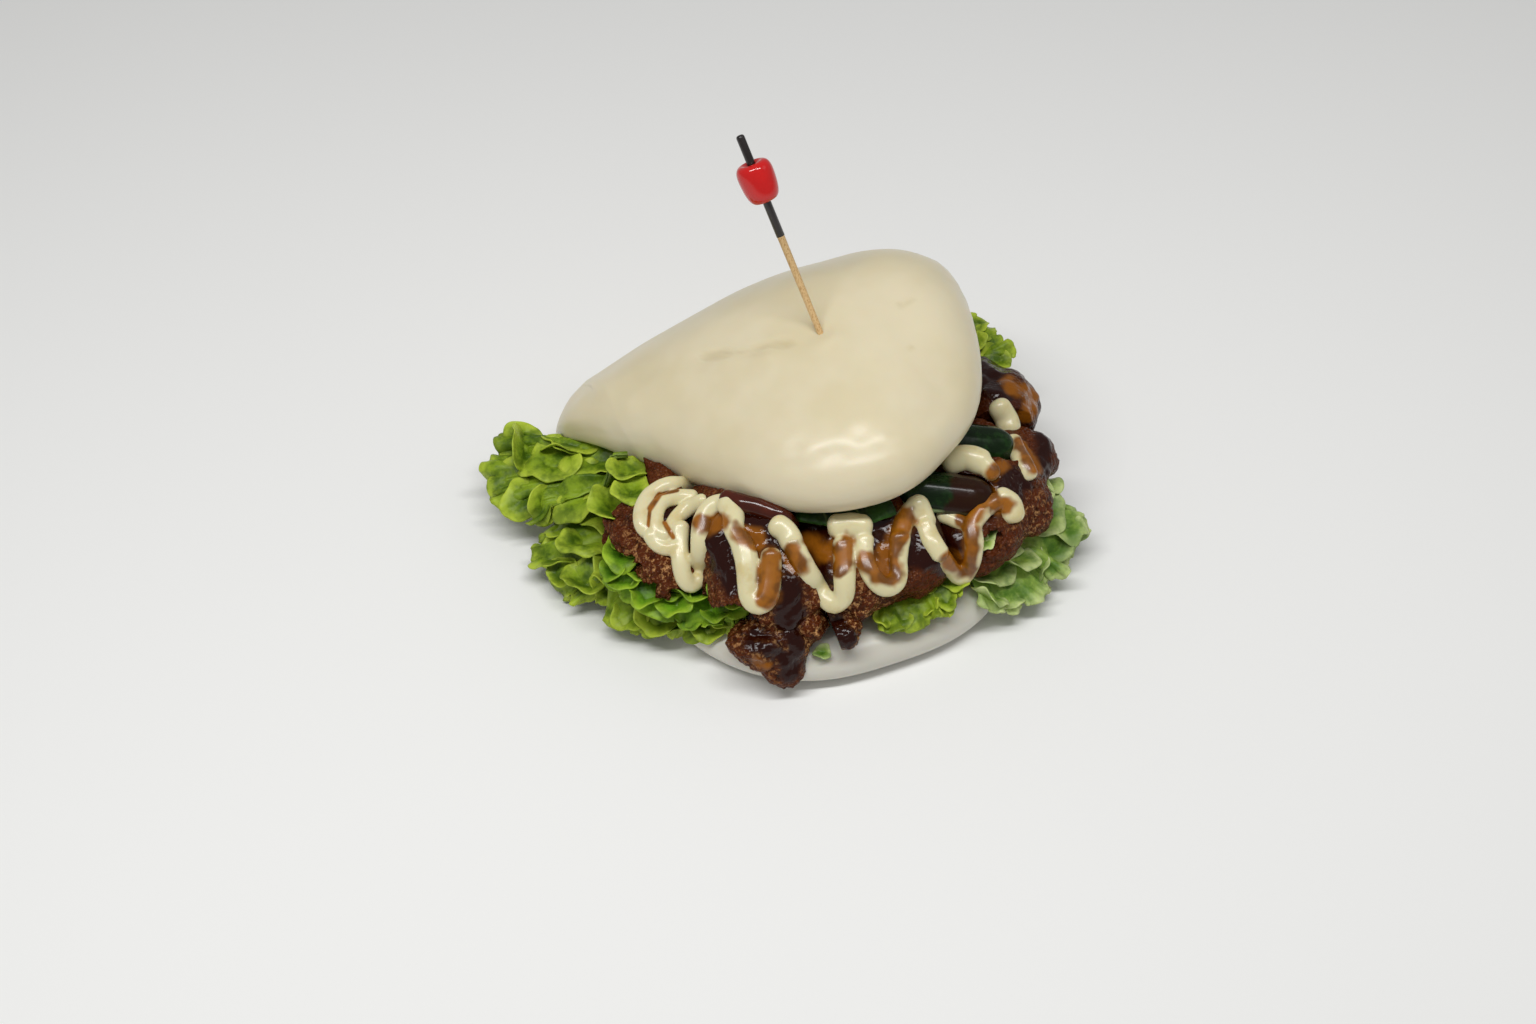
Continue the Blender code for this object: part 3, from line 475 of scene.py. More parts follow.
@dataclass(frozen=True)
class FriedCrust:
    """Battered chicken, deep fried and glazed: brown sparkling grains, near black where the sauce lies."""

    # deep is painted shade, for the hollows between the crumbs.
    deep: str = "#1C0A04"
    body: str = "#55260D"
    grain: str = "#8A5028"
    tip: str = "#D0A068"
    glaze: str = "#260903"
    amber: str = "#8A5110"

    def material(self) -> bpy.types.Material:
        """Builds the crust's material.

        Returns:
            the material.
        """
        material, tree, output, place = new_material("fried_batter_crust")
        high = add_node(tree, "Attribute", {"attribute_name": "crag"}).outputs["Fac"]
        tan = add_node(tree, "Attribute", {"attribute_name": "tan"}).outputs["Fac"]
        dark = add_node(tree, "Attribute", {"attribute_name": Sauce.DARK.value}).outputs["Fac"]
        orange = add_node(tree, "Attribute", {"attribute_name": Sauce.AMBER.value}).outputs["Fac"]
        # Grains of fried batter are 0.5 to 1 mm wide.
        grains = add_node(tree, "TexVoronoi", inputs={"Vector": place, "Scale": per_mm(0.9), "Randomness": 1.0})
        speckle = add_node(tree, "TexNoise", inputs={
            "Vector": place, "Scale": per_mm(1.3), "Detail": 3.0, "Roughness": 0.75
        })
        # Low places between the crumbs are painted near black: painted shade in the hollows.
        low = add_node(tree, "MapRange", SOFT_RISE, {"Value": high, "From Min": -0.55, "From Max": 0.25})
        base = add_node(tree, "Mix", RGBA, {0: low, 6: hex_colour(self.deep), 7: hex_colour(self.body)})
        grainy = add_node(tree, "MapRange", SOFT_RISE, {
            "Value": speckle,
            "From Min": 0.5,
            "From Max": 0.68,
            "To Min": 0.0,
            "To Max": 0.85,
        })
        # Away from the tan spots the glaze dulls most of the grains.
        dulled = add_node(tree, "MapRange", inputs={"Value": tan, "To Min": 0.35, "To Max": 1.0})
        shown = add_node(tree, "Math", MULTIPLY, {0: grainy, 1: dulled})
        grained = add_node(tree, "Mix", RGBA, {0: shown, 6: base.outputs[2], 7: hex_colour(self.grain)})
        tips = add_node(tree, "Math", MULTIPLY, {0: tan, 1: grainy})
        tipped = add_node(tree, "Mix", RGBA, {0: tips, 6: grained.outputs[2], 7: hex_colour(self.tip)})
        glazed = add_node(tree, "Mix", RGBA, {0: dark, 6: tipped.outputs[2], 7: hex_colour(self.glaze)})
        sauced = add_node(tree, "Mix", RGBA, {0: orange, 6: glazed.outputs[2], 7: hex_colour(self.amber)})
        wet = add_node(tree, "Math", {"operation": "MAXIMUM"}, {0: dark, 1: orange})
        gloss = add_node(tree, "MapRange", inputs={"Value": wet, "To Min": 0.26, "To Max": 0.09})
        # Sauce fills the grains level, so it is smooth and gives small bright glints.
        rough = add_node(tree, "MapRange", inputs={"Value": wet, "To Min": 1.0, "To Max": 0.15})
        film = add_node(tree, "Math", MULTIPLY, {0: wet, 1: 0.3})
        crumb = add_node(tree, "Bump", inputs={"Strength": rough, "Distance": 0.0006, "Height": grains})
        crumb.invert = True
        shader = add_node(tree, "BsdfPrincipled", inputs={
            "Base Color": sauced.outputs[2],
            "Roughness": gloss,
            "IOR": 1.47,
            "Specular IOR Level": 0.11,
            "Coat Weight": film,
            "Coat Roughness": 0.05,
            "Normal": crumb,
        })
        tree.links.new(shader.outputs[0], output.inputs[0])
        return material


@dataclass(frozen=True)
class SoyGlaze:
    """Thick sweet soy glaze: red-brown where it is thin, near black where it pools, and very glossy."""

    thin: str = "#5A1E08"
    pooled: str = "#1C0703"

    def material(self) -> bpy.types.Material:
        """Builds the glaze's material.

        Returns:
            the material.
        """
        material, tree, output, place = new_material("sweet_soy_glaze")
        depth = add_node(tree, "TexNoise", inputs={
            "Vector": place, "Scale": per_mm(3.5), "Detail": 2.0, "Roughness": 0.5
        })
        colour = add_node(tree, "Mix", RGBA, {0: depth, 6: hex_colour(self.thin), 7: hex_colour(self.pooled)})
        shader = add_node(tree, "BsdfPrincipled", inputs={
            "Base Color": colour.outputs[2], "Roughness": 0.12, "IOR": 1.47, "Subsurface Weight": 0.1
        })
        shader.inputs["Subsurface Radius"].default_value = (1.0, 0.35, 0.1)
        shader.inputs["Subsurface Scale"].default_value = 0.001
        tree.links.new(shader.outputs[0], output.inputs[0])
        return material


@dataclass(frozen=True)
class PipedMayonnaise:
    """Mayonnaise: an oily emulsion, smooth when piped, glossy and slightly see-through at its edges."""

    cream: str = "#DCD3A8"
    warm: str = "#CDB97C"
    amber: str = "#9C5F10"
    deep_amber: str = "#73440A"

    def material(self) -> bpy.types.Material:
        """Builds the mayonnaise's material.

        Returns:
            the material.
        """
        material, tree, output, place = new_material("piped_mayonnaise")
        cloud = add_node(tree, "TexNoise", inputs={
            "Vector": place, "Scale": per_mm(5), "Detail": 3.0, "Roughness": 0.55
        })
        warmth = add_node(tree, "MapRange", SOFT_RISE, {
            "Value": cloud,
            "From Min": 0.48,
            "From Max": 0.72,
            "To Min": 0.0,
            "To Max": 0.6,
        })
        body = add_node(tree, "Mix", RGBA, {0: warmth, 6: hex_colour(self.cream), 7: hex_colour(self.warm)})
        streak = add_node(tree, "TexNoise", inputs={
            "Vector": place, "Scale": per_mm(4.0), "Detail": 2.0, "Roughness": 0.45
        })
        depth = add_node(tree, "MapRange", SOFT_RISE, {"Value": streak, "From Min": 0.4, "From Max": 0.65})
        sauce = add_node(tree, "Mix", RGBA, {
            0: depth, 6: hex_colour(self.amber), 7: hex_colour(self.deep_amber)
        })
        mask = add_node(tree, "Attribute", {"attribute_name": Sauce.AMBER.value}).outputs["Fac"]
        sauced = add_node(tree, "Mix", RGBA, {0: mask, 6: body.outputs[2], 7: sauce.outputs[2]})
        shader = add_node(tree, "BsdfPrincipled", inputs={
            "Base Color": sauced.outputs[2],
            "Roughness": 0.26,
            "IOR": 1.46,
            "Subsurface Weight": 0.25,
            "Subsurface Radius": (1.0, 0.6, 0.25),
            "Subsurface Scale": 0.0015,
            "Coat Weight": 0.15,
            "Coat Roughness": 0.1,
        })
        tree.links.new(shader.outputs[0], output.inputs[0])
        return material


@dataclass(frozen=True)
class LettuceLeaf:
    """Green leaf lettuce: a thin waxy leaf with pale veins, and rims painted lighter as a painted glow of the
    light that comes through.
    """

    tone: LeafTone
    vein: str = "#BFD07E"

    def material(self) -> bpy.types.Material:
        """Builds the leaf's material.

        Returns:
            the material.
        """
        shade, body, rim = self.tone.value
        material, tree, output, place = new_material(f"lettuce_leaf_{self.tone.name.lower()}")
        blotch = add_node(tree, "TexNoise", inputs={
            "Vector": place, "Scale": per_mm(6), "Detail": 4.0, "Roughness": 0.6
        })
        blotched = add_node(tree, "MapRange", SOFT_RISE, {"Value": blotch, "From Min": 0.36, "From Max": 0.62})
        flesh = add_node(tree, "Mix", RGBA, {0: blotched, 6: hex_colour(shade), 7: hex_colour(body)})
        # The rims are painted lighter: a painted glow of light that comes through the leaf.
        brim = add_node(tree, "Attribute", {"attribute_name": "rim"}).outputs["Fac"]
        patchy = add_node(tree, "MapRange", inputs={"Value": blotched, "To Min": 0.35, "To Max": 1.0})
        edge = add_node(tree, "Math", MULTIPLY, {0: brim, 1: patchy}).outputs[0]
        rimmed = add_node(tree, "Mix", RGBA, {0: edge, 6: flesh.outputs[2], 7: hex_colour(rim)})
        vein = add_node(tree, "Attribute", {"attribute_name": "vein"}).outputs["Fac"]
        veined = add_node(tree, "Mix", RGBA, {0: vein, 6: rimmed.outputs[2], 7: hex_colour(self.vein)})
        # The leaf's skin puckers between its finest veins, about 1.3 mm apart.
        pucker = add_node(tree, "TexVoronoi", {"feature": "SMOOTH_F1"}, {
            "Vector": place, "Scale": per_mm(1.3), "Smoothness": 0.6
        })
        relief = add_node(tree, "Bump", inputs={"Strength": 0.35, "Distance": 0.0005, "Height": pucker})
        relief.invert = True
        shader = add_node(tree, "BsdfPrincipled", inputs={
            "Base Color": veined.outputs[2],
            "Roughness": 0.42,
            "IOR": 1.4,
            "Specular IOR Level": 0.3,
            "Subsurface Weight": 0.15,
            "Subsurface Radius": (0.8, 1.0, 0.2),
            "Subsurface Scale": 0.001,
            "Normal": relief,
        })
        tree.links.new(shader.outputs[0], output.inputs[0])
        return material


@dataclass(frozen=True)
class CucumberSkin:
    """Cucumber peel: waxy, dark green with faint paler stripes, wet and so very glossy."""

    peel: str = "#0E200A"
    stripe: str = "#1B3713"
    flesh: str = "#A9C08A"
    glaze: str = "#2A0E05"

    def material(self) -> bpy.types.Material:
        """Builds the peel's material.

        Returns:
            the material.
        """
        material, tree, output, place = new_material("cucumber_peel")
        blotch = add_node(tree, "TexNoise", inputs={
            "Vector": place, "Scale": per_mm(3), "Detail": 3.0, "Roughness": 0.6
        })
        striped = add_node(tree, "MapRange", SOFT_RISE, {"Value": blotch, "From Min": 0.42, "From Max": 0.68})
        peel = add_node(tree, "Mix", RGBA, {0: striped, 6: hex_colour(self.peel), 7: hex_colour(self.stripe)})
        cut = add_node(tree, "Attribute", {"attribute_name": "cut"}).outputs["Fac"]
        sliced = add_node(tree, "Mix", RGBA, {0: cut, 6: peel.outputs[2], 7: hex_colour(self.flesh)})
        film = add_node(tree, "Attribute", {"attribute_name": Sauce.DARK.value}).outputs["Fac"]
        colour = add_node(tree, "Mix", RGBA, {0: film, 6: sliced.outputs[2], 7: hex_colour(self.glaze)})
        relief = add_node(tree, "Bump", inputs={"Strength": 0.2, "Distance": 0.0004, "Height": blotch})
        shader = add_node(tree, "BsdfPrincipled", inputs={
            "Base Color": colour.outputs[2],
            "Roughness": 0.2,
            "IOR": 1.4,
            "Specular IOR Level": 0.2,
            "Coat Weight": 0.12,
            "Coat Roughness": 0.04,
            "Normal": relief,
        })
        tree.links.new(shader.outputs[0], output.inputs[0])
        return material


@dataclass(frozen=True)
class SplitBamboo:
    """Bamboo, split and rounded: pale and matt, with fine darker fibres along it."""

    pale: str = "#E3C08A"
    fibre: str = "#B98A4E"

    def material(self, way: np.ndarray) -> bpy.types.Material:
        """Builds the bamboo's material.

        Args:
            way: direction of the fibres.

        Returns:
            the material.
        """
        material, tree, output, place = new_material("split_bamboo")
        turn = Vector(way).to_track_quat("Z", "Y").inverted().to_euler()
        turned = add_node(tree, "Mapping", inputs={
            "Vector": place, "Rotation": tuple(turn), "Scale": (1.0, 1.0, 0.03)
        })
        fibres = add_node(tree, "TexNoise", inputs={
            "Vector": turned, "Scale": per_mm(0.25), "Detail": 2.0, "Roughness": 0.5
        })
        mixed = add_node(tree, "MapRange", SOFT_RISE, {"Value": fibres, "From Min": 0.45, "From Max": 0.75})
        colour = add_node(tree, "Mix", RGBA, {0: mixed, 6: hex_colour(self.pale), 7: hex_colour(self.fibre)})
        relief = add_node(tree, "Bump", inputs={"Strength": 0.3, "Distance": 0.0001, "Height": fibres})
        shader = add_node(tree, "BsdfPrincipled", inputs={
            "Base Color": colour.outputs[2], "Roughness": 0.5, "IOR": 1.5, "Normal": relief
        })
        tree.links.new(shader.outputs[0], output.inputs[0])
        return material


@dataclass(frozen=True)
class LacquerPaint:
    """Lacquer brushed on bamboo or turned wood: an even colour with a clear gloss and a hint of brush marks."""

    name: str
    colour: str
    shade: str
    roughness: float

    def material(self) -> bpy.types.Material:
        """Builds the lacquer's material.

        Returns:
            the material.
        """
        material, tree, output, place = new_material(self.name)
        drift = add_node(tree, "TexNoise", inputs={
            "Vector": place, "Scale": per_mm(2.5), "Detail": 2.0, "Roughness": 0.5
        })
        colour = add_node(tree, "Mix", RGBA, {0: drift, 6: hex_colour(self.colour), 7: hex_colour(self.shade)})
        relief = add_node(tree, "Bump", inputs={"Strength": 0.08, "Distance": 0.0002, "Height": drift})
        shader = add_node(tree, "BsdfPrincipled", inputs={
            "Base Color": colour.outputs[2],
            "Roughness": self.roughness,
            "IOR": 1.5,
            "Coat Weight": 0.25,
            "Coat Roughness": 0.05,
            "Normal": relief,
        })
        tree.links.new(shader.outputs[0], output.inputs[0])
        return material


@dataclass
class FoldedBun:
    """The steamed bun: one oval of dough, folded over the filling."""

    half_width: float = 53.0
    middle_x: float = -1.0
    lower_thick: float = 12.0
    upper_thick: float = 15.0
    rim_radius: float = 9.0
    outline_power: float = 2.8
    lower_tip_y: tuple = (38.0, 31.0)
    lower_front_y: float = -53.0
    tightest_bend: float = 0.66
    base_sink: float = 0.7
    closed_tip: float = 8.0
    closed_share: float = 0.5
    closed_tip_z: float = 12.5
    patch_corner: float = 0.86
    cells: tuple = (22, 34)
    rows: int = 121
    steps: int = 240
    crowded_across: tuple = ((0.0, 0.09, 2.6), (1.0, 0.09, 2.6))
    crowded_along: tuple = ((0.0, 0.05, 4.0), (1.0, 0.05, 4.0), (0.48, 0.13, 1.3))
    station_x: tuple = (-54.0, -38.0, -20.0, 0.0, 20.0, 38.0, 52.0)
    fold_back_y: tuple = (47.5, 48.5, 49.5, 50.0, 50.0, 49.0, 45.5)
    fold_top_z: tuple = (22.0, 31.0, 42.5, 52.0, 56.0, 53.5, 38.0)
    crown_y: tuple = (43.0, 28.0, 10.0, 3.0, 4.0, 12.0, 36.0)
    crown_z: tuple = (23.0, 33.0, 46.0, 55.0, 58.0, 56.0, 40.5)
    rim_y: tuple = (40.5, 14.0, -21.0, -35.0, -30.0, -11.0, 29.0)
    rim_z: tuple = (21.5, 26.0, 37.0, 44.0, 45.0, 44.0, 39.0)
    # The skin's wide swells as depth, width and seed, and the fine wrinkles near the upper flap's rim as depth,
    # stretch, width and seed.
    swells: tuple = ((0.45, 27, 3), (0.16, 11, 4))
    wrinkles: tuple = ((0.14, (0.4, 1.0, 1.0), 3.2, 5), (0.05, (1.0, 1.0, 1.0), 1.8, 6))
    # Marks on the upper flap: shallow creases as lines with width and depth, and dents as spot, width, depth.
    creases: tuple = (
        (((-21, 21, 52.5), (-17, 17, 55), (-13.4, 14, 57), (-9, 11.5, 59), (-3.7, 8, 61)), 1.1, 0.5),
        (((-15, 13, 57), (-8, 8, 60)), 0.9, 0.35),
        (((-35, 31, 42.5), (-24, 18.5, 51.5)), 2.2, 0.12),
        (((25.2, 6.0, 65.0), (28.6, 6.9, 65.0)), 0.55, 0.4),
        (((21.9, -7.5, 63.0), (22.9, -7.7, 63.0)), 0.6, 0.35),
    )
    dents: tuple = (
        ((4.1, 7.4, 63.0), 2.6, 0.8),
        ((6.5, 2.6, 63.0), 2.6, -0.5),
        ((-10, 8.5, 59.5), 3.0, -0.5),
        ((-20, 14, 55), 4.0, -0.35),
        ((-8, -6, 58), 9.0, 0.25),
        ((3.0, 3.0, 62.8), 3.4, -0.5),
        ((0.4, -24.9, 57.0), 2.2, 0.25),
        ((-3.2, -24.6, 56.2), 2.6, -0.3),
        ((4.6, -26.8, 56.9), 3.0, -0.3),
        ((-20.3, -7.8, 52.3), 3.2, -0.3),
        ((-29.9, 6.5, 46.8), 3.6, -0.3),
        ((-40.6, 25.5, 39.1), 3.6, -0.3),
    )

    def section(self, x: float) -> list[tuple[float, float]]:
        """Mid-thickness curve of the folded dough.

        Args:
            x: place along the fold.

        Returns:
            points from the lower flap's front to the upper flap's rim, as (y, z).
        """
        from_middle = (x - self.middle_x) / self.half_width
        power = self.outline_power
        reach = (1 - min(1.0, abs(from_middle)) ** power) ** (1 / power)
        # The left end of the fold rounds off.
        from_tip = min(1.0, max(0.0, x - self.middle_x + self.half_width) / self.closed_tip)
        opened = self.closed_share + (1 - self.closed_share) * math.sqrt(1 - (1 - from_tip) ** 2)
        lower_z = opened * self.lower_thick / 2 + (1 - opened) * self.closed_tip_z
        tip_y = np.interp(from_middle, (-1, 1), self.lower_tip_y)
        front_y = tip_y - (tip_y - self.lower_front_y) * reach
        measures = (self.fold_back_y, self.fold_top_z, self.crown_y, self.crown_z, self.rim_y, self.rim_z)
        back_y, top_z, crown_y, crown_z, rim_y, rim_z = (fair(self.station_x, m, x) for m in measures)
        top_z, crown_z, rim_z = (opened * z + (1 - opened) * self.closed_tip_z for z in (top_z, crown_z, rim_z))
        turn = (top_z - lower_z) / 2
        shoulder_y = back_y - turn * (0.7 + 0.25 * reach)
        return [
            (front_y, lower_z),
            (front_y + (shoulder_y - front_y) / 2, lower_z),
            (shoulder_y, lower_z),
            (back_y, lower_z + turn),
            (max(shoulder_y, crown_y + 0.35 * (back_y - crown_y)), top_z),
            (crown_y, crown_z),
            ((crown_y + rim_y) / 2, 0.42 * crown_z + 0.58 * rim_z + 0.12 * abs(crown_y - rim_y)),
            (rim_y, rim_z),
        ]

    def table(self, rows: int, samples: int) -> tuple[np.ndarray, np.ndarray, np.ndarray]:
        """Sections of the dough.

        Args:
            rows: how many sections.
            samples: points on each.

        Returns:
            stations along the fold, half the section's length at each, and the points.
        """
        xs = self.middle_x + self.half_width * np.sin(np.linspace(-math.pi / 2, math.pi / 2, rows))
        shares = np.linspace(0, 1, samples)
        lines = [curve_through(self.section(x), shares) for x in xs]
        return xs, np.array([length / 2 for _, length in lines]), np.array([line for line, _ in lines])

    @staticmethod
    def crowded(count: int, spots: tuple) -> np.ndarray:
        """Shares from 0 to 1 that crowd around some spots.

        Args:
            count: how many.
            spots: where, how wide and how much denser.

        Returns:
            the shares in order.
        """
        fine = np.linspace(0, 1, 2001)
        density = 1 + sum(much * np.exp(-(((fine - at) / spread) ** 2)) for at, spread, much in spots)
        total = np.concatenate([[0], np.cumsum((density[1:] + density[:-1]) / 2)])
        return np.interp(np.linspace(0, 1, count) * total[-1], total, fine)

    def outline(self, xs: np.ndarray, halves: np.ndarray, across: np.ndarray, along: np.ndarray) -> tuple:
        """Edge of the flat dough.

        Args:
            xs: stations along the fold.
            halves: half the section's length at each.
            across: shares at which the long sides are read.
            along: shares at which the tips are read.

        Returns:
            the four sides of a patch, and the whole edge as a loop.
        """
        rim = list(zip(xs, halves))
        ends = np.linspace(1, -1, 15)[1:-1]
        points = rim + [(xs[-1], halves[-1] * t) for t in ends]
        points += [(x, -h) for x, h in rim[::-1]] + [(xs[0], -halves[0] * t) for t in ends]
        loop = np.array(points + points[:1], float)
        length = np.concatenate([[0], np.cumsum(np.linalg.norm(np.diff(loop, axis=0), axis=1))])
        side = len(rim) + len(ends)
        corner = int(np.searchsorted(xs, self.middle_x - self.patch_corner * self.half_width))
        marks = [length[corner], length[len(rim) - 1 - corner], length[side + corner]]
        marks += [length[side + len(rim) - 1 - corner], length[corner] + length[-1]]

        def run(start: float, stop: float, shares: np.ndarray) -> np.ndarray:
            """The loop read between two marks."""
            at = (start + (stop - start) * shares) % length[-1]
            return np.stack([np.interp(at, length, loop[:, k]) for k in range(2)], axis=1)

        front, upper = run(marks[3], marks[2], across), run(marks[0], marks[1], across)
        left, right = run(marks[3], marks[4], along), run(marks[2], marks[1], along)
        return front, upper, left, right, loop

    def patch(self, across: int, along: int) -> tuple[np.ndarray, np.ndarray, np.ndarray]:
        """Grid over the dough.

        Args:
            across: points along the fold.
            along: points from the front to the rim.

        Returns:
            mid-thickness points, each one's share of its section, and its distance from the free edge.
        """
        xs, halves, curves = self.table(self.rows, self.steps + 1)
        wide = self.crowded(across, self.crowded_across)
        deep = self.crowded(along, self.crowded_along)
        front, upper, left, right, loop = self.outline(xs, halves, wide, deep)
        s = wide[:, None, None]
        t = deep[None, :, None]
        flat = (1 - t) * front[:, None] + t * upper[:, None] + (1 - s) * left[None] + s * right[None]
        flat -= (1 - s) * (1 - t) * front[0] + s * (1 - t) * front[-1]
        flat -= (1 - s) * t * upper[0] + s * t * upper[-1]
        edge = near_line(flat, loop)
        edge[0] = edge[-1] = 0
        edge[:, 0] = edge[:, -1] = 0
        x = np.clip(flat[..., 0], xs[0], xs[-1])
        share = np.clip(0.5 + flat[..., 1] / np.interp(x, xs, halves) / 2, 0, 1)
        i = np.clip(np.searchsorted(xs, x) - 1, 0, len(xs) - 2)
        f = ((x - xs[i]) / (xs[i + 1] - xs[i]))[..., None]
        j = np.clip((share * self.steps).astype(int), 0, self.steps - 1)
        g = (share * self.steps - j)[..., None]
        low = curves[i, j] * (1 - g) + curves[i, j + 1] * g
        high = curves[i + 1, j] * (1 - g) + curves[i + 1, j + 1] * g
        return np.concatenate([x[..., None], low * (1 - f) + high * f], axis=2), share, edge

    def marks(self, outer: np.ndarray, share: np.ndarray) -> tuple[np.ndarray, np.ndarray]:
        """Height of the skin's dents and swells, and where shade is painted in its creases.

        Args:
            outer: points of the outer skin.
            share: each point's share of its section.

        Returns:
            height in millimetres, and 0 to 1 in the creases and nicks, where shade is painted.
        """
        height = sum(depth * soft_noise(outer, width, seed) for depth, width, seed in self.swells)
        # Close to its rim the upper flap is finely wrinkled along the rim.
        band = smooth_step(share, 0.72, 0.84) * (1 - smooth_step(share, 0.93, 0.99))
        for depth, stretch, width, seed in self.wrinkles:
            height += depth * band * soft_noise(outer * stretch, width, seed)
        groove = np.zeros(outer.shape[:2])
        for line, width, depth in self.creases:
            wander = width * (0.9 * soft_noise(outer, 4.5, 8) + 0.5 * soft_noise(outer, 2.0, 9))
            near = np.exp(-(((near_line(outer, np.array(line, float)) + wander) / width) ** 2))
            height -= depth * near
            # The creases are painted brown as painted shade, most in the thin nicks.
            groove = np.maximum(groove, near * depth * (2.2 if width < 0.7 else 0.7))
        for spot, width, depth in self.dents:
            near = np.exp(-((np.linalg.norm(outer - spot, axis=2) / width) ** 2))
            height -= depth * near
        return height * smooth_step(share, 0.25, 0.5), np.clip(groove, 0, 0.9)

    def build(self) -> bpy.types.Object:
        """Builds and dresses the bun.

        Returns:
            the bun.
        """
        finer = 8
        across, along = self.cells[0] * finer + 1, self.cells[1] * finer + 1
        middle, share, edge = self.patch(across, along)
        upper = np.clip((share - 0.35) / 0.3, 0, 1)
        thick = self.lower_thick + (self.upper_thick - self.lower_thick) * upper
        sections = [self.section(x) for x in middle[:, along // 2, 0]]
        bend = np.array([(line[4][1] - line[2][1]) / 2 for line in sections])
        t = np.clip(edge / self.rim_radius, 0, 1)
        half = np.minimum(thick / 2, self.tightest_bend * bend[:, None]) * np.sqrt(1 - (1 - t) ** 2)
        normal = -grid_normals(middle)
        outer = middle + normal * half[..., None]
        inner = middle - normal * half[..., None]
        for grid in (outer, inner):
            grid[..., 2] = np.maximum(grid[..., 2] - self.base_sink, 0)
        height, groove = self.marks(outer, share)
        outer = outer + normal * (height * smooth_step(t, 0.0, 0.5))[..., None]
        count = across * along
        numbers = np.arange(count).reshape(across, along)
        below = np.where(edge > 0, numbers + count, numbers)
        top = grid_faces(across, along)
        faces = np.concatenate([top, below.ravel()[top][:, ::-1]])
        points = np.concatenate([outer.reshape(-1, 3), inner.reshape(-1, 3)])
        used = np.unique(faces)
        slot_of = np.full(len(points), -1)
        slot_of[used] = np.arange(len(used))
        # lower_flap marks where the painted sheen of the lower flap lies.
        lower = np.tile(1 - smooth_step(share, 0.3, 0.45), (2, 1, 1)).reshape(-1)
        # How much painted shade lies at each point's crease; none on the inner skin.
        crease_shade = np.concatenate([groove.ravel(), np.zeros(count)])
        marks = {"lower_flap": lower[used], "crease_shade": crease_shade[used]}
        bun = make_mesh("steamed_bun", points[used], slot_of[faces].tolist(), marks)
        settle(bun, SteamedDough().material(), ("bun",))
        return bun


@dataclass(frozen=True)
class Leaf:
    """One leaf: its tucked edge, its free margin, its frills, its grid, its arch, its tone and its lobes.

    Rows of lobes stand on the sheet, each row given as its share from the tuck to the margin, how many
    lobes it has, and how wide they are. Rise is how far they stand up, 1 for a crisp leaf. Loose lobes
    are given by themselves, each with its root, its direction and its width.
    """

    tucked: tuple
    margin: tuple
    lobes: int
    height: float
    cells: tuple
    arch: float = 2.6
    tone: LeafTone = LeafTone.BRIGHT
    rows: tuple = ((0.45, 2, 14.0), (0.72, 3, 14.0), (0.95, 6, 10.5))
    rise: float = 0.8
    loose: tuple = ()


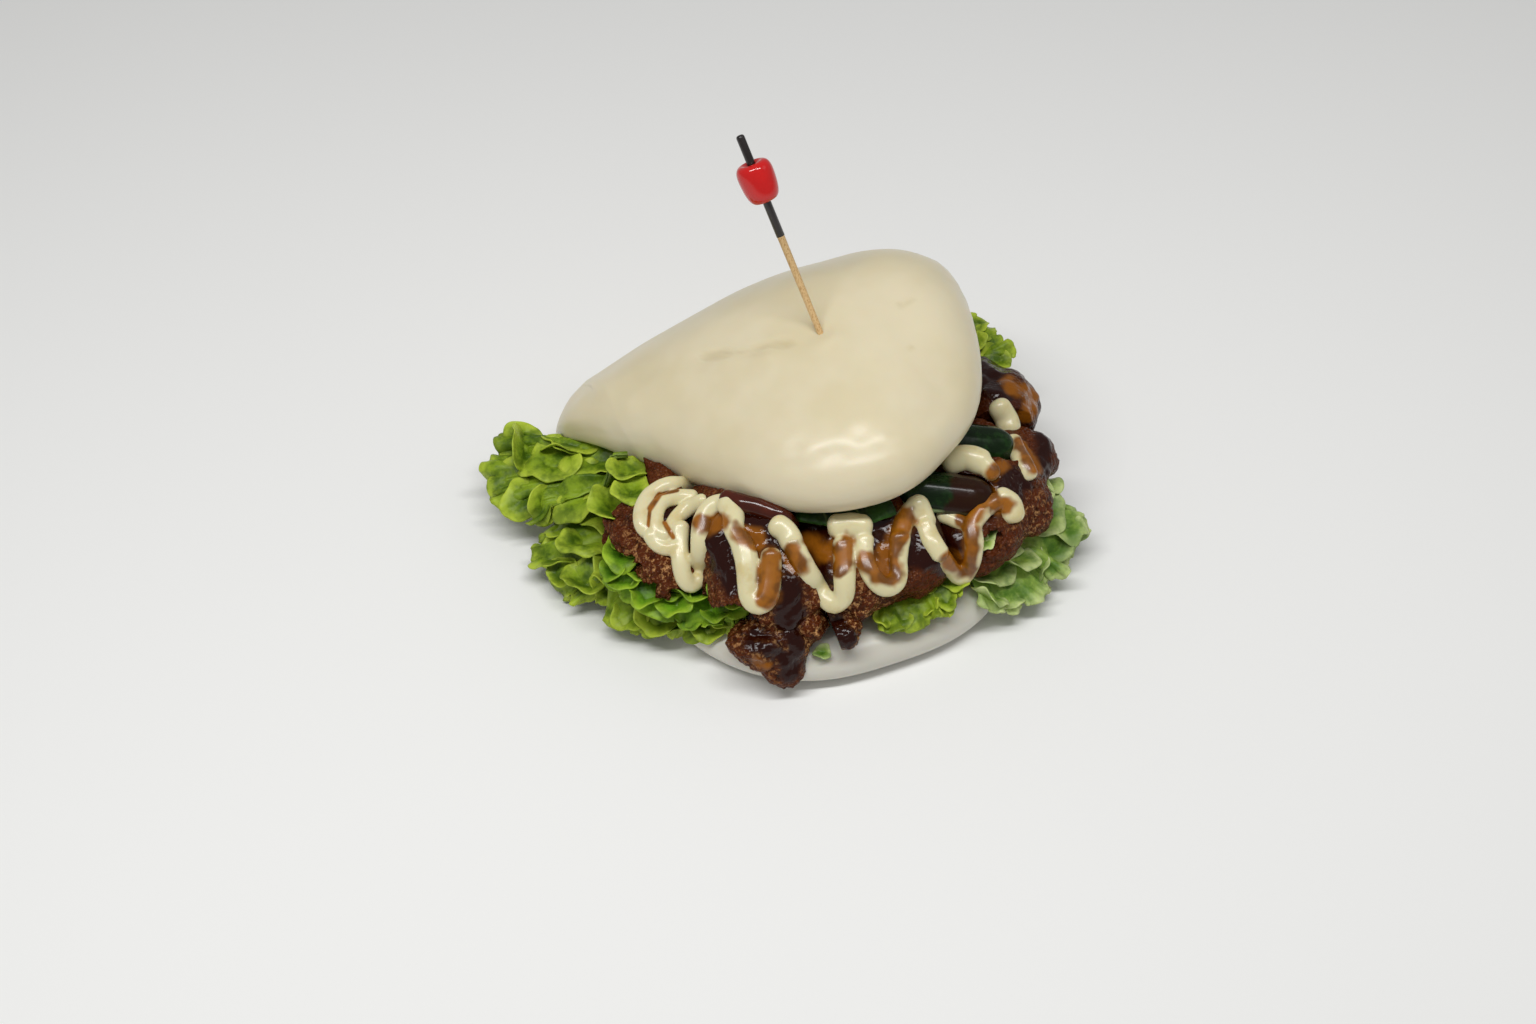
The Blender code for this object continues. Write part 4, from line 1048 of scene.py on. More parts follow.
# The leaves by CAD node, each laid on the ones before it.
LEAVES = {
    "lettuce_side": Leaf(
        ((-48, 15, 13.8), (-46, 4, 13.8), (-45, -7, 13.8)),
        ((-59, 27, 12), (-71, 18, 7), (-73, 9, 4.5), (-71, 0, 4), (-65, -4, 4), (-58, -9, 8)),
        lobes=6, height=3.0, cells=(30, 4),
        loose=(
            ((-44, 14, 26.5), (-0.8, -0.55, 0.1), 10.0),
            ((-46, 7.5, 28.5), (-0.75, -0.65, 0.1), 9.5),
            ((-50, 9, 23), (-0.85, -0.5, 0.0), 12.0),
        ),
    ),
    "lettuce_left": Leaf(
        ((-43, 31, 16), (-43, 24, 15.5), (-45, 16, 14.5)),
        ((-55, 39, 16), (-63, 48, 15), (-70, 50, 13), (-75, 45, 11), (-76, 36, 9), (-72, 27, 8), (-65, 22, 9)),
        lobes=9, height=2.8, cells=(40, 4),
        arch=4.5,
        rows=((0.40, 2, 15.0), (0.68, 3, 15.0), (0.93, 6, 11.0)),
        rise=0.35,
    ),
    "lettuce_low": Leaf(
        ((-48, -8, 13.8), (-39, -19, 13.8), (-31, -27, 13.8)),
        ((-64, -10, 5), (-59, -16, 4), (-54, -21, 4), (-48, -26, 5), (-42, -31, 8), (-36, -34, 13)),
        lobes=6, height=2.4, cells=(28, 3),
        rows=((0.6, 3, 11.0), (0.93, 5, 9.5)),
    ),
    "lettuce_front": Leaf(
        ((-57, -4, 21), (-51, -8, 21.5), (-45, -17, 17.5), (-39, -24, 16), (-31, -31, 15.5)),
        ((-62, -8, 17), (-59, -15, 14), (-54, -22, 13), (-48, -28, 13), (-41, -33, 14), (-33, -35, 16)),
        lobes=6, height=1.8, cells=(28, 3),
        arch=1.0,
        tone=LeafTone.DEEP,
        rows=((0.3, 4, 10.0), (0.65, 5, 10.0), (0.95, 7, 8.0)),
        rise=0.9,
    ),
    "lettuce_middle": Leaf(
        ((0, -35, 13.8), (10, -35, 13.8), (21, -33, 14.5)),
        ((-4, -49, 13), (2, -52, 13), (9, -52, 14), (16, -51, 15), (21, -44, 17)),
        lobes=5, height=1.8, cells=(20, 3),
        rows=((0.55, 3, 9.0), (0.93, 5, 7.0)),
    ),
    "lettuce_right": Leaf(
        ((24, -37, 13.5), (33, -31, 13.8), (42, -24, 14), (46, -17, 14.5)),
        ((24, -50, 10), (32, -51, 6), (41, -49, 5), (48, -45, 5))
        + ((56, -40, 6), (62, -35, 8), (60, -28, 13), (53, -24, 15)),
        lobes=9, height=2.8, cells=(38, 4),
        tone=LeafTone.PALE,
        rows=((0.45, 2, 14.0), (0.7, 4, 13.0), (0.93, 6, 11.0)),
        rise=0.7,
    ),
    "lettuce_back": Leaf(
        ((54, 29, 21), (55, 25, 20), (56, 20, 19)),
        ((60, 34, 24), (65, 32, 26), (67, 25, 25), (67, 19, 22), (63, 17, 19)),
        lobes=4, height=1.8, cells=(18, 3),
        rows=((0.5, 1, 9.0), (0.88, 3, 7.5)),
    ),
    "lettuce_rim": Leaf(
        ((-13, -15, 33.6), (-3, -19, 34.4), (6, -20, 34.8)),
        ((-16, -25, 34.2), (-5, -33.5, 35.6), (7, -34, 35.8)),
        lobes=5, height=0.5, cells=(15, 2),
        # Painted shade: this strip under the upper flap's rim is painted near black green.
        tone=LeafTone.DARK,
        rows=(),
    ),
}

# Torn scraps that lie on the chicken, each lobe with its root, its direction and its width.
SCRAPS = {
    "scrap_right": (
        ((30.6, -39.4, 26.6), (-0.5, -0.75, -0.3), 4.6),
        ((28.6, -41.6, 25.8), (-0.5, -0.75, -0.35), 4.2),
    ),
    "scrap_front": (((-17.6, -46.6, 10.2), (-0.85, -0.4, -0.2), 4.4),),
}


@dataclass
class LettuceBed:
    """The lettuce leaves under and around the chicken."""

    thick: float = 0.7
    gap: float = 0.35
    lobe_half: float = 0.26  # half a lobe's thickness at its middle
    upper_flap_from: float = 12.6  # height above which the dough is the upper flap
    leaf_seed: int = 500
    scrap_seed: int = 700
    scrap_rise: float = 0.6
    leaves: dict[str, Leaf] = field(default_factory=LEAVES.copy)
    scraps: dict[str, tuple] = field(default_factory=SCRAPS.copy)

    def sheet(self, leaf: Leaf, seed: int) -> tuple[np.ndarray, np.ndarray, np.ndarray]:
        """Mid-surface of a frilled leaf.

        Args:
            leaf: the leaf.
            seed: which frills.

        Returns:
            the grid of points, the share along the margin, and the share from the tuck to the margin.
        """
        finer = ((7, 6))
        nu, nv = leaf.cells[0] * finer[0], leaf.cells[1] * finer[1]
        u = np.linspace(0, 1, nu + 1)
        v = (np.linspace(0, 1, nv + 1) ** 0.65)[None, :, None]
        inner, _ = curve_through(leaf.tucked, u)
        outer, _ = curve_through(leaf.margin, u)
        uneven = 0.35 * np.sin(7 * u + 2.1 * seed) + 0.2 * np.sin(17 * u + seed)
        turns = leaf.lobes * u + uneven * u * (1 - u) * 4
        phase = (math.pi * turns)[:, None, None]
        reach = (outer - inner)[:, None]
        length = np.linalg.norm(reach, axis=2, keepdims=True)
        bulge = np.abs(np.sin(phase)) ** 0.6 - 0.75
        grid = inner[:, None] + reach * (v + bulge * 0.95 * leaf.height * v**4 / length)
        grid = grid + np.array([0, 0, leaf.arch]) * np.sin(math.pi * v)
        size = leaf.height * (0.8 + 0.3 * np.sin(3 * seed + 13 * u))[:, None, None]
        grid = self.frill(grid, phase, size * v**3.5, 0.35)
        # Smaller frills ride on the lobes, each set square to the one before.
        second = 2.63 * phase + 1.7 * np.sin(0.9 * phase + seed)
        grid = self.frill(grid, second + 2.2 * v, 0.42 * size * v**5, 0.5)
        third = 6.1 * phase + 1.3 * np.sin(2.3 * phase + 2 * seed)
        grid = self.frill(grid, third + 4.0 * v, 0.16 * size * v**8, 0.5)
        crumple = soft_noise(grid, 6.0, 20 + seed) * 1.0 + soft_noise(grid, 2.6, 40 + seed) * 0.45
        swell = 0.35 * (0.5 - pebbles(grid, 3.2, 60 + seed))
        grid = grid + grid_normals(grid) * ((crumple * v[..., 0] + swell) * min(1.0, leaf.height))[..., None]
        return grid, turns, v[..., 0] * np.ones((nu + 1, 1))

    @staticmethod
    def frill(grid: np.ndarray, phase: np.ndarray, size: np.ndarray, curl: float) -> np.ndarray:
        """Turns the sheet up and down in waves that lean over.

        Args:
            grid: the sheet.
            phase: where in the wave each point is.
            size: height of the waves.
            curl: how much they lean over.

        Returns:
            the frilled sheet.
        """
        along = np.gradient(grid, axis=0)
        along /= np.maximum(np.linalg.norm(along, axis=2, keepdims=True), 1e-9)
        up = grid_normals(grid)
        up = up * np.sign(np.mean(up[..., 2]) + 1e-6)
        return grid + up * size * np.sin(phase) - along * size * curl * np.sin(2 * phase)

    def drape(self, grid: np.ndarray, dough: BVHTree, under: BVHTree | None) -> np.ndarray:
        """Lays a sheet on what is under it.

        Args:
            grid: the sheet.
            dough: the bun.
            under: the leaves laid before it.

        Returns:
            the sheet, clear of the bun and of those leaves.
        """
        rows, columns = grid.shape[:2]
        clear = self.thick / 2 + self.gap
        floor = np.zeros((rows, columns))
        ceiling = np.full((rows, columns), 200.0)
        beneath = np.full((rows, columns), -50.0)
        up = Vector((0, 0, 1))
        down = Vector((0, 0, -1))
        for i in range(rows):
            for j in range(columns):
                x, y, _ = grid[i, j]
                start = -5.0
                for _ in range(6):
                    hit = dough.ray_cast(Vector((x, y, start)), up)
                    if hit[0] is None:
                        break
                    if hit[0].z < self.upper_flap_from:
                        floor[i, j] = max(floor[i, j], hit[0].z)
                    else:
                        ceiling[i, j] = hit[0].z
                        break
                    start = hit[0].z + 0.02
                if under is not None:
                    hit = under.ray_cast(Vector((x, y, 90)), down)
                    if hit[0] is not None:
                        beneath[i, j] = hit[0].z
        floor, ceiling, beneath = (self.widest(f, s) for f, s in ((floor, 1), (ceiling, -1), (beneath, 1)))
        z = np.maximum(grid[..., 2], beneath + 2 * clear)
        open_gap = ceiling - floor > 2.4 * clear
        held = np.minimum(np.maximum(z, floor + clear), np.maximum(ceiling - clear, floor + clear))
        z = np.where(open_gap, held, floor + clear)
        result = grid.copy()
        result[..., 2] = np.maximum(self.eased(z, grid[..., 2]), clear)
        return result

    @staticmethod
    def widest(values: np.ndarray, sign: int) -> np.ndarray:
        """Extreme of each value and its neighbours.

        Args:
            values: the values.
            sign: 1 for the highest, -1 for the lowest.

        Returns:
            the extremes.
        """
        padded = np.pad(values, 1, mode="edge") * sign
        rows, columns = values.shape
        near = [padded[i : i + rows, j : j + columns] for i in range(3) for j in range(3)]
        return np.max(near, axis=0) * sign

    @staticmethod
    def eased(z: np.ndarray, wish: np.ndarray) -> np.ndarray:
        """Heights smoothed where the sheet was lifted, so that the lift has no step.

        Args:
            z: the lifted heights.
            wish: the heights before the lift.

        Returns:
            the smoothed heights.
        """
        lift = z - wish
        for _ in range(2):
            padded = np.pad(lift, 1, mode="edge")
            mean = (padded[:-2, 1:-1] + padded[2:, 1:-1] + padded[1:-1, :-2] + padded[1:-1, 2:]) / 4
            lift = np.maximum(lift, mean)
        return wish + lift

    def veins(self, turns: np.ndarray, v: np.ndarray, leaf: Leaf) -> np.ndarray:
        """Where the pale veins are.

        Args:
            turns: place along the margin, in lobes.
            v: share from the tuck to the margin.
            leaf: the leaf; not used.

        Returns:
            0 to 1 on the veins.
        """
        wide = 9.0
        across = np.abs((turns[:, None] / 2 + 0.12 * np.sin(5 * v)) % 1 - 0.5) * wide
        rib = np.exp(-((across / (0.75 - 0.5 * v)) ** 2)) * (1 - 0.75 * v)
        side = np.abs((v * 4.5 - across / wide * 2.4) % 1 - 0.5)
        branch = np.exp(-((side / 0.07) ** 2)) * (1 - smooth_step(v, 0.7, 1.0)) * 0.35
        return np.clip(0.4 * rib + 0.12 * branch, 0, 1)

    def lobe(
        self,
        at: np.ndarray,
        out: np.ndarray,
        up: np.ndarray,
        wide: float,
        rise: float,
        draw: np.random.Generator,
    ) -> tuple[np.ndarray, np.ndarray]:
        """One cupped, frilled lobe that stands on a leaf.

        Args:
            at: where it grows from the leaf.
            out: the direction it grows in.
            up: the direction square to the leaf.
            wide: how wide it is.
            rise: how far it stands up.
            draw: source of its unevenness.

        Returns:
            its grid of points, from its middle to its rim and around, and each one's share of the way out.
        """
        rings, spokes = ((13, 56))
        tilt = rise * draw.uniform(0.1, 0.55)
        swing = draw.uniform(-0.45, 0.45)
        side = np.cross(up, out)
        c, s = math.cos(swing), math.sin(swing)
        out, side = out * c + side * s, side * c - out * s
        c, s = math.cos(tilt), math.sin(tilt)
        lift, out = up * c - out * s, out * c + up * s
        r = (np.linspace(0.0, 1.0, rings) ** 0.8)[:, None]
        turn = np.linspace(0, 2 * math.pi, spokes, endpoint=False)[None]
        shift = draw.uniform(0, 6.28, 5)
        edge = 1 + 0.09 * np.sin(3 * turn + shift[0]) + 0.05 * np.sin(5 * turn + shift[1])
        edge += 0.04 * np.abs(np.sin(4 * turn + shift[2]))
        radius = wide / 2 * r * edge
        a = radius * np.cos(turn) * 1.1 + wide * 0.42
        b = radius * np.sin(turn)
        cup = rise * draw.uniform(0.1, 0.34) * wide * r**2
        frill = wide * 0.085 * r**3 * np.sin(draw.integers(2, 5) * turn + shift[3])
        frill += wide * 0.022 * r**5 * np.sin(draw.integers(5, 8) * turn + shift[4])
        groove = -0.06 * wide * np.exp(-((b / (0.12 * wide)) ** 2)) * np.clip(1 - r, 0, 1)
        droop = -0.3 * wide * np.clip(np.cos(turn), 0, 1) * r**3 * draw.uniform(0, 1)
        h = cup + frill + groove + droop
        grid = at + a[..., None] * out + b[..., None] * side + h[..., None] * lift
        rough = soft_noise(grid, 4.6, 90) * 0.6 + soft_noise(grid, 2.0, 91) * 0.14
        return grid + rough[..., None] * lift, r * np.ones_like(turn)

    def places(
        self, leaf: Leaf, sheet: np.ndarray, v: np.ndarray, draw: np.random.Generator
    ) -> Iterator[tuple]:
        """Where the lobes of one leaf grow.

        Args:
            leaf: the leaf.
            sheet: its grid of points.
            v: each point's share from the tuck to the margin.
            draw: source of its unevenness.

        Returns:
            for each lobe in turn its root, its directions out and up, and its width.
        """
        outward = np.gradient(sheet, axis=1)
        outward /= np.maximum(np.linalg.norm(outward, axis=2, keepdims=True), 1e-9)
        facing = grid_normals(sheet)
        facing = facing * np.sign(np.mean(facing[..., 2]) + 1e-6)
        for share, count, wide in leaf.rows:
            j = int(np.argmin(np.abs(v[0] - share)))
            for k in range(count):
                i = int(np.clip((k + 0.5 + draw.uniform(-0.3, 0.3)) / count, 0.02, 0.98) * (sheet.shape[0] - 1))
                size = wide * draw.uniform(0.72, 1.15)
                up = facing[i, j] * 0.45 + np.array([0, 0, 0.55])
                up /= np.linalg.norm(up)
                out = outward[i, j] - up * (outward[i, j] @ up)
                out /= max(float(np.linalg.norm(out)), 1e-9)
                yield sheet[i, j] - out * size * 0.8 - up * 0.5, out, up, size
        yield from self.given(leaf.loose)

    @staticmethod
    def given(loose: tuple) -> Iterator[tuple]:
        """Lobes that are given by themselves.

        Args:
            loose: root, direction and width of each.

        Returns:
            for each lobe in turn its root, its directions out and up, and its width.
        """
        for root, out, wide in loose:
            way = np.array(out) / np.linalg.norm(out)
            up = np.array([0, 0, 1.0]) - way * way[2]
            yield np.array(root, float), way, up / np.linalg.norm(up), wide

    def cups(
        self, places: Iterable[tuple], rise: float, draw: np.random.Generator, dough: BVHTree, start: int
    ) -> tuple[np.ndarray, np.ndarray, np.ndarray]:
        """Lobes as thin closed shells.

        Args:
            places: root, directions and width of each.
            rise: how far they stand up.
            draw: source of their unevenness.
            dough: the bun, which they stay clear of.
            start: number of the first point.

        Returns:
            points, faces and the rims' values.
        """
        points, faces, rims = [np.zeros((0, 3))], [np.zeros((0, 4), int)], [np.zeros(0)]
        for root, out, up, size in places:
            grid, r = self.lobe(root, out, up, size, rise, draw)
            grid = self.drape(grid, dough, None)
            rings, spokes = r.shape
            normal = np.cross(np.roll(grid, -1, axis=1) - grid, np.gradient(grid, axis=0))
            normal /= np.maximum(np.linalg.norm(normal, axis=2, keepdims=True), 1e-9)
            normal[0] = up
            normal *= np.sign(np.mean(normal @ up))
            half = (self.lobe_half * (1.1 - 0.55 * r))[..., None]
            top, low = grid + normal * half, grid - normal * half
            number = start + np.arange(rings * spokes).reshape(rings, spokes)
            after = np.roll(number, -1, axis=1)
            skin = np.stack([number[:-1], after[:-1], after[1:], number[1:]], axis=-1).reshape(-1, 4)
            total = rings * spokes
            brim = np.stack([number[-1], after[-1], after[-1] + total, number[-1] + total], axis=-1)
            faces.append(np.concatenate([skin[:, ::-1], skin + total, brim[:, ::-1]]))
            points.append(np.concatenate([top.reshape(-1, 3), low.reshape(-1, 3)]))
            # The lobes' rims carry the painted glow too.
            rims.append(np.tile(smooth_step(r, 0.45, 1.0).ravel(), 2))
            start += 2 * total
        return np.concatenate(points), np.concatenate(faces), np.concatenate(rims)

    def build(self, dough: bpy.types.Object) -> list[bpy.types.Object]:
        """Builds and dresses the leaves.

        Args:
            dough: the bun that they lie on.

        Returns:
            the leaves.
        """
        finishes = {tone: LettuceLeaf(tone).material() for tone in LeafTone}
        solid = tree_of(dough)
        built: list[bpy.types.Object] = []
        for seed, (name, leaf) in enumerate(self.leaves.items()):
            grid, turns, v = self.sheet(leaf, seed)
            grid = self.drape(grid, solid, tree_of(*built) if built else None)
            rows, columns = grid.shape[:2]
            normal = grid_normals(grid)
            # The leaf thins from its tuck to its rim.
            half = (self.thick / 2 * (1.15 - 0.75 * v))[..., None]
            top, low = grid + normal * half, grid - normal * half
            count = rows * columns
            sheets = np.concatenate([grid_faces(rows, columns), grid_faces(rows, columns, count, True)])
            ring = np.arange(count).reshape(rows, columns)
            loop = np.concatenate([ring[:-1, 0], ring[-1, :-1], ring[:0:-1, -1], ring[0, :0:-1]])
            after = np.roll(loop, -1)
            rim_faces = np.stack([after, loop, loop + count, after + count], axis=1)
            margin_mm = (1 - v) * np.linalg.norm(grid[:, -1:] - grid[:, :1], axis=2)
            # The margin is where the painted glow lies.
            rim = np.exp(-((margin_mm / 2.0) ** 2)) * 0.9
            draw = np.random.default_rng(self.leaf_seed + seed)
            spots = self.places(leaf, grid, v, draw)
            more, more_faces, more_rims = self.cups(spots, leaf.rise, draw, solid, 2 * count)
            vein = np.tile(self.veins(turns, v, leaf).ravel(), 2)
            obj = make_mesh(
                f"leaf_{name.split('_')[1]}",
                np.concatenate([top.reshape(-1, 3), low.reshape(-1, 3), more]),
                np.concatenate([sheets, rim_faces, more_faces]).tolist(),
                {
                    "rim": np.concatenate([np.tile(rim.ravel(), 2), more_rims]),
                    "vein": np.concatenate([vein, np.zeros(len(more))]),
                },
            )
            settle(obj, finishes[leaf.tone], (name,))
            built.append(obj)
        for seed, (name, loose) in enumerate(self.scraps.items()):
            draw = np.random.default_rng(self.scrap_seed + seed)
            points, faces, rims = self.cups(self.given(loose), self.scrap_rise, draw, solid, 0)
            obj = make_mesh(name, points, faces.tolist(), {"rim": rims, "vein": 0 * rims})
            settle(obj, finishes[LeafTone.PALE], ())
            built.append(obj)
        return built


@dataclass
class CucumberSticks:
    """Two half-round sticks of cucumber, skin upward."""

    width: float = 12.0
    depth: float = 6.0
    sticks: dict = field(
        default_factory=lambda: {
            "cucumber_front": ((12, -25, 36.5), (33, -34, 33)),
            "cucumber_back": ((18, -10, 39), (46, -20, 33)),
        }
    )

    def build(self, spout: "Spout") -> list[bpy.types.Object]:
        """Builds and dresses the sticks.

        Args:
            spout: where the sauces lie.

        Returns:
            the sticks.
        """
        finish = CucumberSkin().material()
        return [self.stick(name, finish, spout) for name in self.sticks]

    def stick(self, name: str, finish: bpy.types.Material, spout: "Spout") -> bpy.types.Object:
        """Builds one stick.

        Args:
            name: its CAD node.
            finish: its material.
            spout: where the sauces lie.

        Returns:
            the stick.
        """
        start, stop = (np.array(end, float) for end in self.sticks[name])
        way = stop - start
        length = np.linalg.norm(way)
        way /= length
        side = np.cross((0, 0, 1), way)
        side /= np.linalg.norm(side)
        up = np.cross(way, side)
        low = -up * self.depth * 0.5
        shares = 0.5 - 0.5 * np.cos(np.linspace(0, math.pi, 41))
        turns = np.linspace(0, math.pi, 29)
        flat = np.linspace(-1, 1, 12)[1:-1]
        arc = len(turns) + len(flat)
        points = [start + low * 0.6]
        cut = [1.0]
        for share in shares:
            from_end = min(share, 1 - share) * length
            narrow = math.sqrt(max(0.0, 1 - (1 - min(1.0, (from_end + 0.8) / 6.0)) ** 2))
            at = start + way * share * length + low
            for k in range(arc):
                if k < len(turns):
                    across, rise = math.cos(turns[k]), math.sin(turns[k]) * (0.35 + 0.65 * narrow)
                    # The peel has faint ridges along the stick.
                    rise *= 1 + 0.012 * math.sin(11 * turns[k])
                else:
                    across, rise = flat[k - len(turns)], 0.0
                points.append(at + side * across * self.width / 2 * narrow + up * rise * self.depth)
                cut.append(0.0 if rise > 0.12 else 1.0)
        points.append(stop + low * 0.6)
        cut.append(1.0)
        last = len(points) - 1
        faces = []
        for i in range(len(shares) - 1):
            for k in range(arc):
                a, b = 1 + i * arc + k, 1 + i * arc + (k + 1) % arc
                faces.append((a, b, b + arc, a + arc))
        for k in range(arc):
            faces.append((0, 1 + (k + 1) % arc, 1 + k))
            faces.append((last, last - arc + k, last - arc + (k + 1) % arc))
        film = spout.covered(np.array(points), Sauce.DARK) * 0.9
        marks = {"cut": np.array(cut), Sauce.DARK.value: film}
        obj = make_mesh(f"{name}_stick", np.array(points), faces, marks)
        settle(obj, finish, (name,))
        return obj


# Each patch is a short run of sauce across and up from the spout: its two ends and half its width.
PATCHES = {
    Sauce.AMBER: (
        ((-28.0, 2.3), (-24.2, 2.1), 2.5), ((-18.9, -0.1), (-14.9, -1.9), 2.4),
        ((-11.2, -5.5), (-12.0, -15.4), 2.5), ((-6.3, -5.1), (-4.8, -7.3), 2.5),
        ((6.2, -3.4), (5.9, -7.6), 2.7), ((11.5, -7.4), (16.7, -10.2), 2.9),
        ((22.1, 3.3), (18.6, -3.7), 2.6), ((17.3, -4.7), (18.6, -8.4), 2.0),
        ((38.5, 0.4), (38.0, -8.6), 1.8), ((33.6, -7.1), (36.5, -8.5), 2.5),
        ((36.7, 2.3), (42.9, 9.0), 2.1), ((44.2, 7.1), (46.9, 6.6), 2.0),
        ((51.2, 38.2), (56.5, 35.8), 2.0), ((57.1, 35.4), (55.5, 29.1), 1.9),
        ((44.1, 14.7), (47.1, 16.9), 1.5), ((-1.4, -2.2), (2.0, -5.2), 2.1),
        ((-14.8, -31.2), (-12.6, -32.6), 1.3), ((52.7, 22.3), (55.1, 16.8), 2.2),
        ((-41.6, 1.6), (-41.2, 6.0), 0.4), ((-41.2, 6.0), (-39.0, 9.4), 0.6),
        ((-39.0, 9.4), (-34.6, 10.4), 0.4), ((-37.6, 2.4), (-35.4, -1.2), 0.5),
    ),
    Sauce.DARK: (
        ((-23.0, 1.5), (-4.0, -0.5), 6.0), ((-4.0, -3.0), (28.0, -2.0), 6.5),
        ((28.0, -2.0), (48.0, 11.0), 4.5), ((-8.2, -3.0), (-8.4, -14.0), 3.6),
        ((-39.0, 1.0), (-33.0, 6.0), 3.6), ((-8.4, -14.0), (-5.5, -27.0), 2.4),
        ((-5.5, -27.0), (-6.5, -34.0), 2.6), ((36.0, 4.0), (44.0, 12.0), 5.0),
        ((48.0, 37.0), (44.0, 44.0), 5.0), ((27.0, -4.0), (33.0, -8.0), 3.4),
        ((-18.0, 6.3), (-8.9, 5.3), 3.7), ((-23.9, -2.7), (-20.9, -11.6), 3.7),
        ((-7.5, -12.5), (-6.5, -20.5), 3.9), ((-0.9, -6.2), (2.5, -10.6), 3.1),
        ((-3.3, 3.3), (2.1, 0.3), 3.1), ((-30.8, 4.8), (-30.0, -0.7), 2.4),
        ((14.2, -1.8), (14.4, -7.4), 2.2), ((24.2, 1.4), (26.8, -5.2), 2.7),
        ((32.2, 0.4), (37.0, -4.5), 2.7), ((36.7, 12.8), (38.4, 6.1), 3.7),
        ((47.2, 14.8), (51.3, 12.4), 2.9), ((44.0, 36.1), (51.4, 36.1), 1.8),
        ((45.3, 46.0), (47.4, 40.3), 3.4), ((-16.0, -27.1), (-8.0, -29.6), 2.4),
        ((-15.0, -24.6), (-12.0, -25.5), 1.6), ((58.7, 25.0), (58.5, 17.0), 2.5),
        ((4.1, -22.7), (7.0, -26.1), 2.6),
    ),
}


@dataclass
class Spout:
    """Direction from which the sauces were piped, and where each sauce lies across and up from it."""

    toward: tuple = (-0.2714, -0.6394, 0.7193)
    patches: dict[Sauce, tuple] = field(default_factory=PATCHES.copy)

    def axes(self) -> tuple[np.ndarray, np.ndarray, np.ndarray]:
        """Directions of the strokes' plane.

        Returns:
            across, up and toward the spout.
        """
        out = np.array(self.toward) / np.linalg.norm(self.toward)
        across = np.cross((0, 0, 1), out)
        across /= np.linalg.norm(across)
        return across, np.cross(out, across), out

    def covered(self, points: np.ndarray, sauce: Sauce, soft: float = 1.2, grown: float = 0.0) -> np.ndarray:
        """How far a sauce covers points.

        Args:
            points: where.
            sauce: which sauce.
            soft: width of its edge.
            grown: how much wider its patches are than given.

        Returns:
            0 to 1 per point.
        """
        across, up, _ = self.axes()
        flat = np.stack([points @ across, points @ up], axis=-1)
        wander = 1.1 * soft_noise(points, 3.2, 71) + 0.5 * soft_noise(points, 1.3, 72)
        best = np.zeros(points.shape[:-1])
        for a, b, radius in self.patches[sauce]:
            # A thin thread of sauce has a sharper edge and wanders less.
            share = min(1.0, radius / 2)
            away = near_line(flat, np.array([a, b], float)) + wander * share**2
            edge = soft * share / 2
            wide = radius + grown * share
            best = np.maximum(best, 1 - smooth_step(away, wide - edge, wide + edge))
        return best


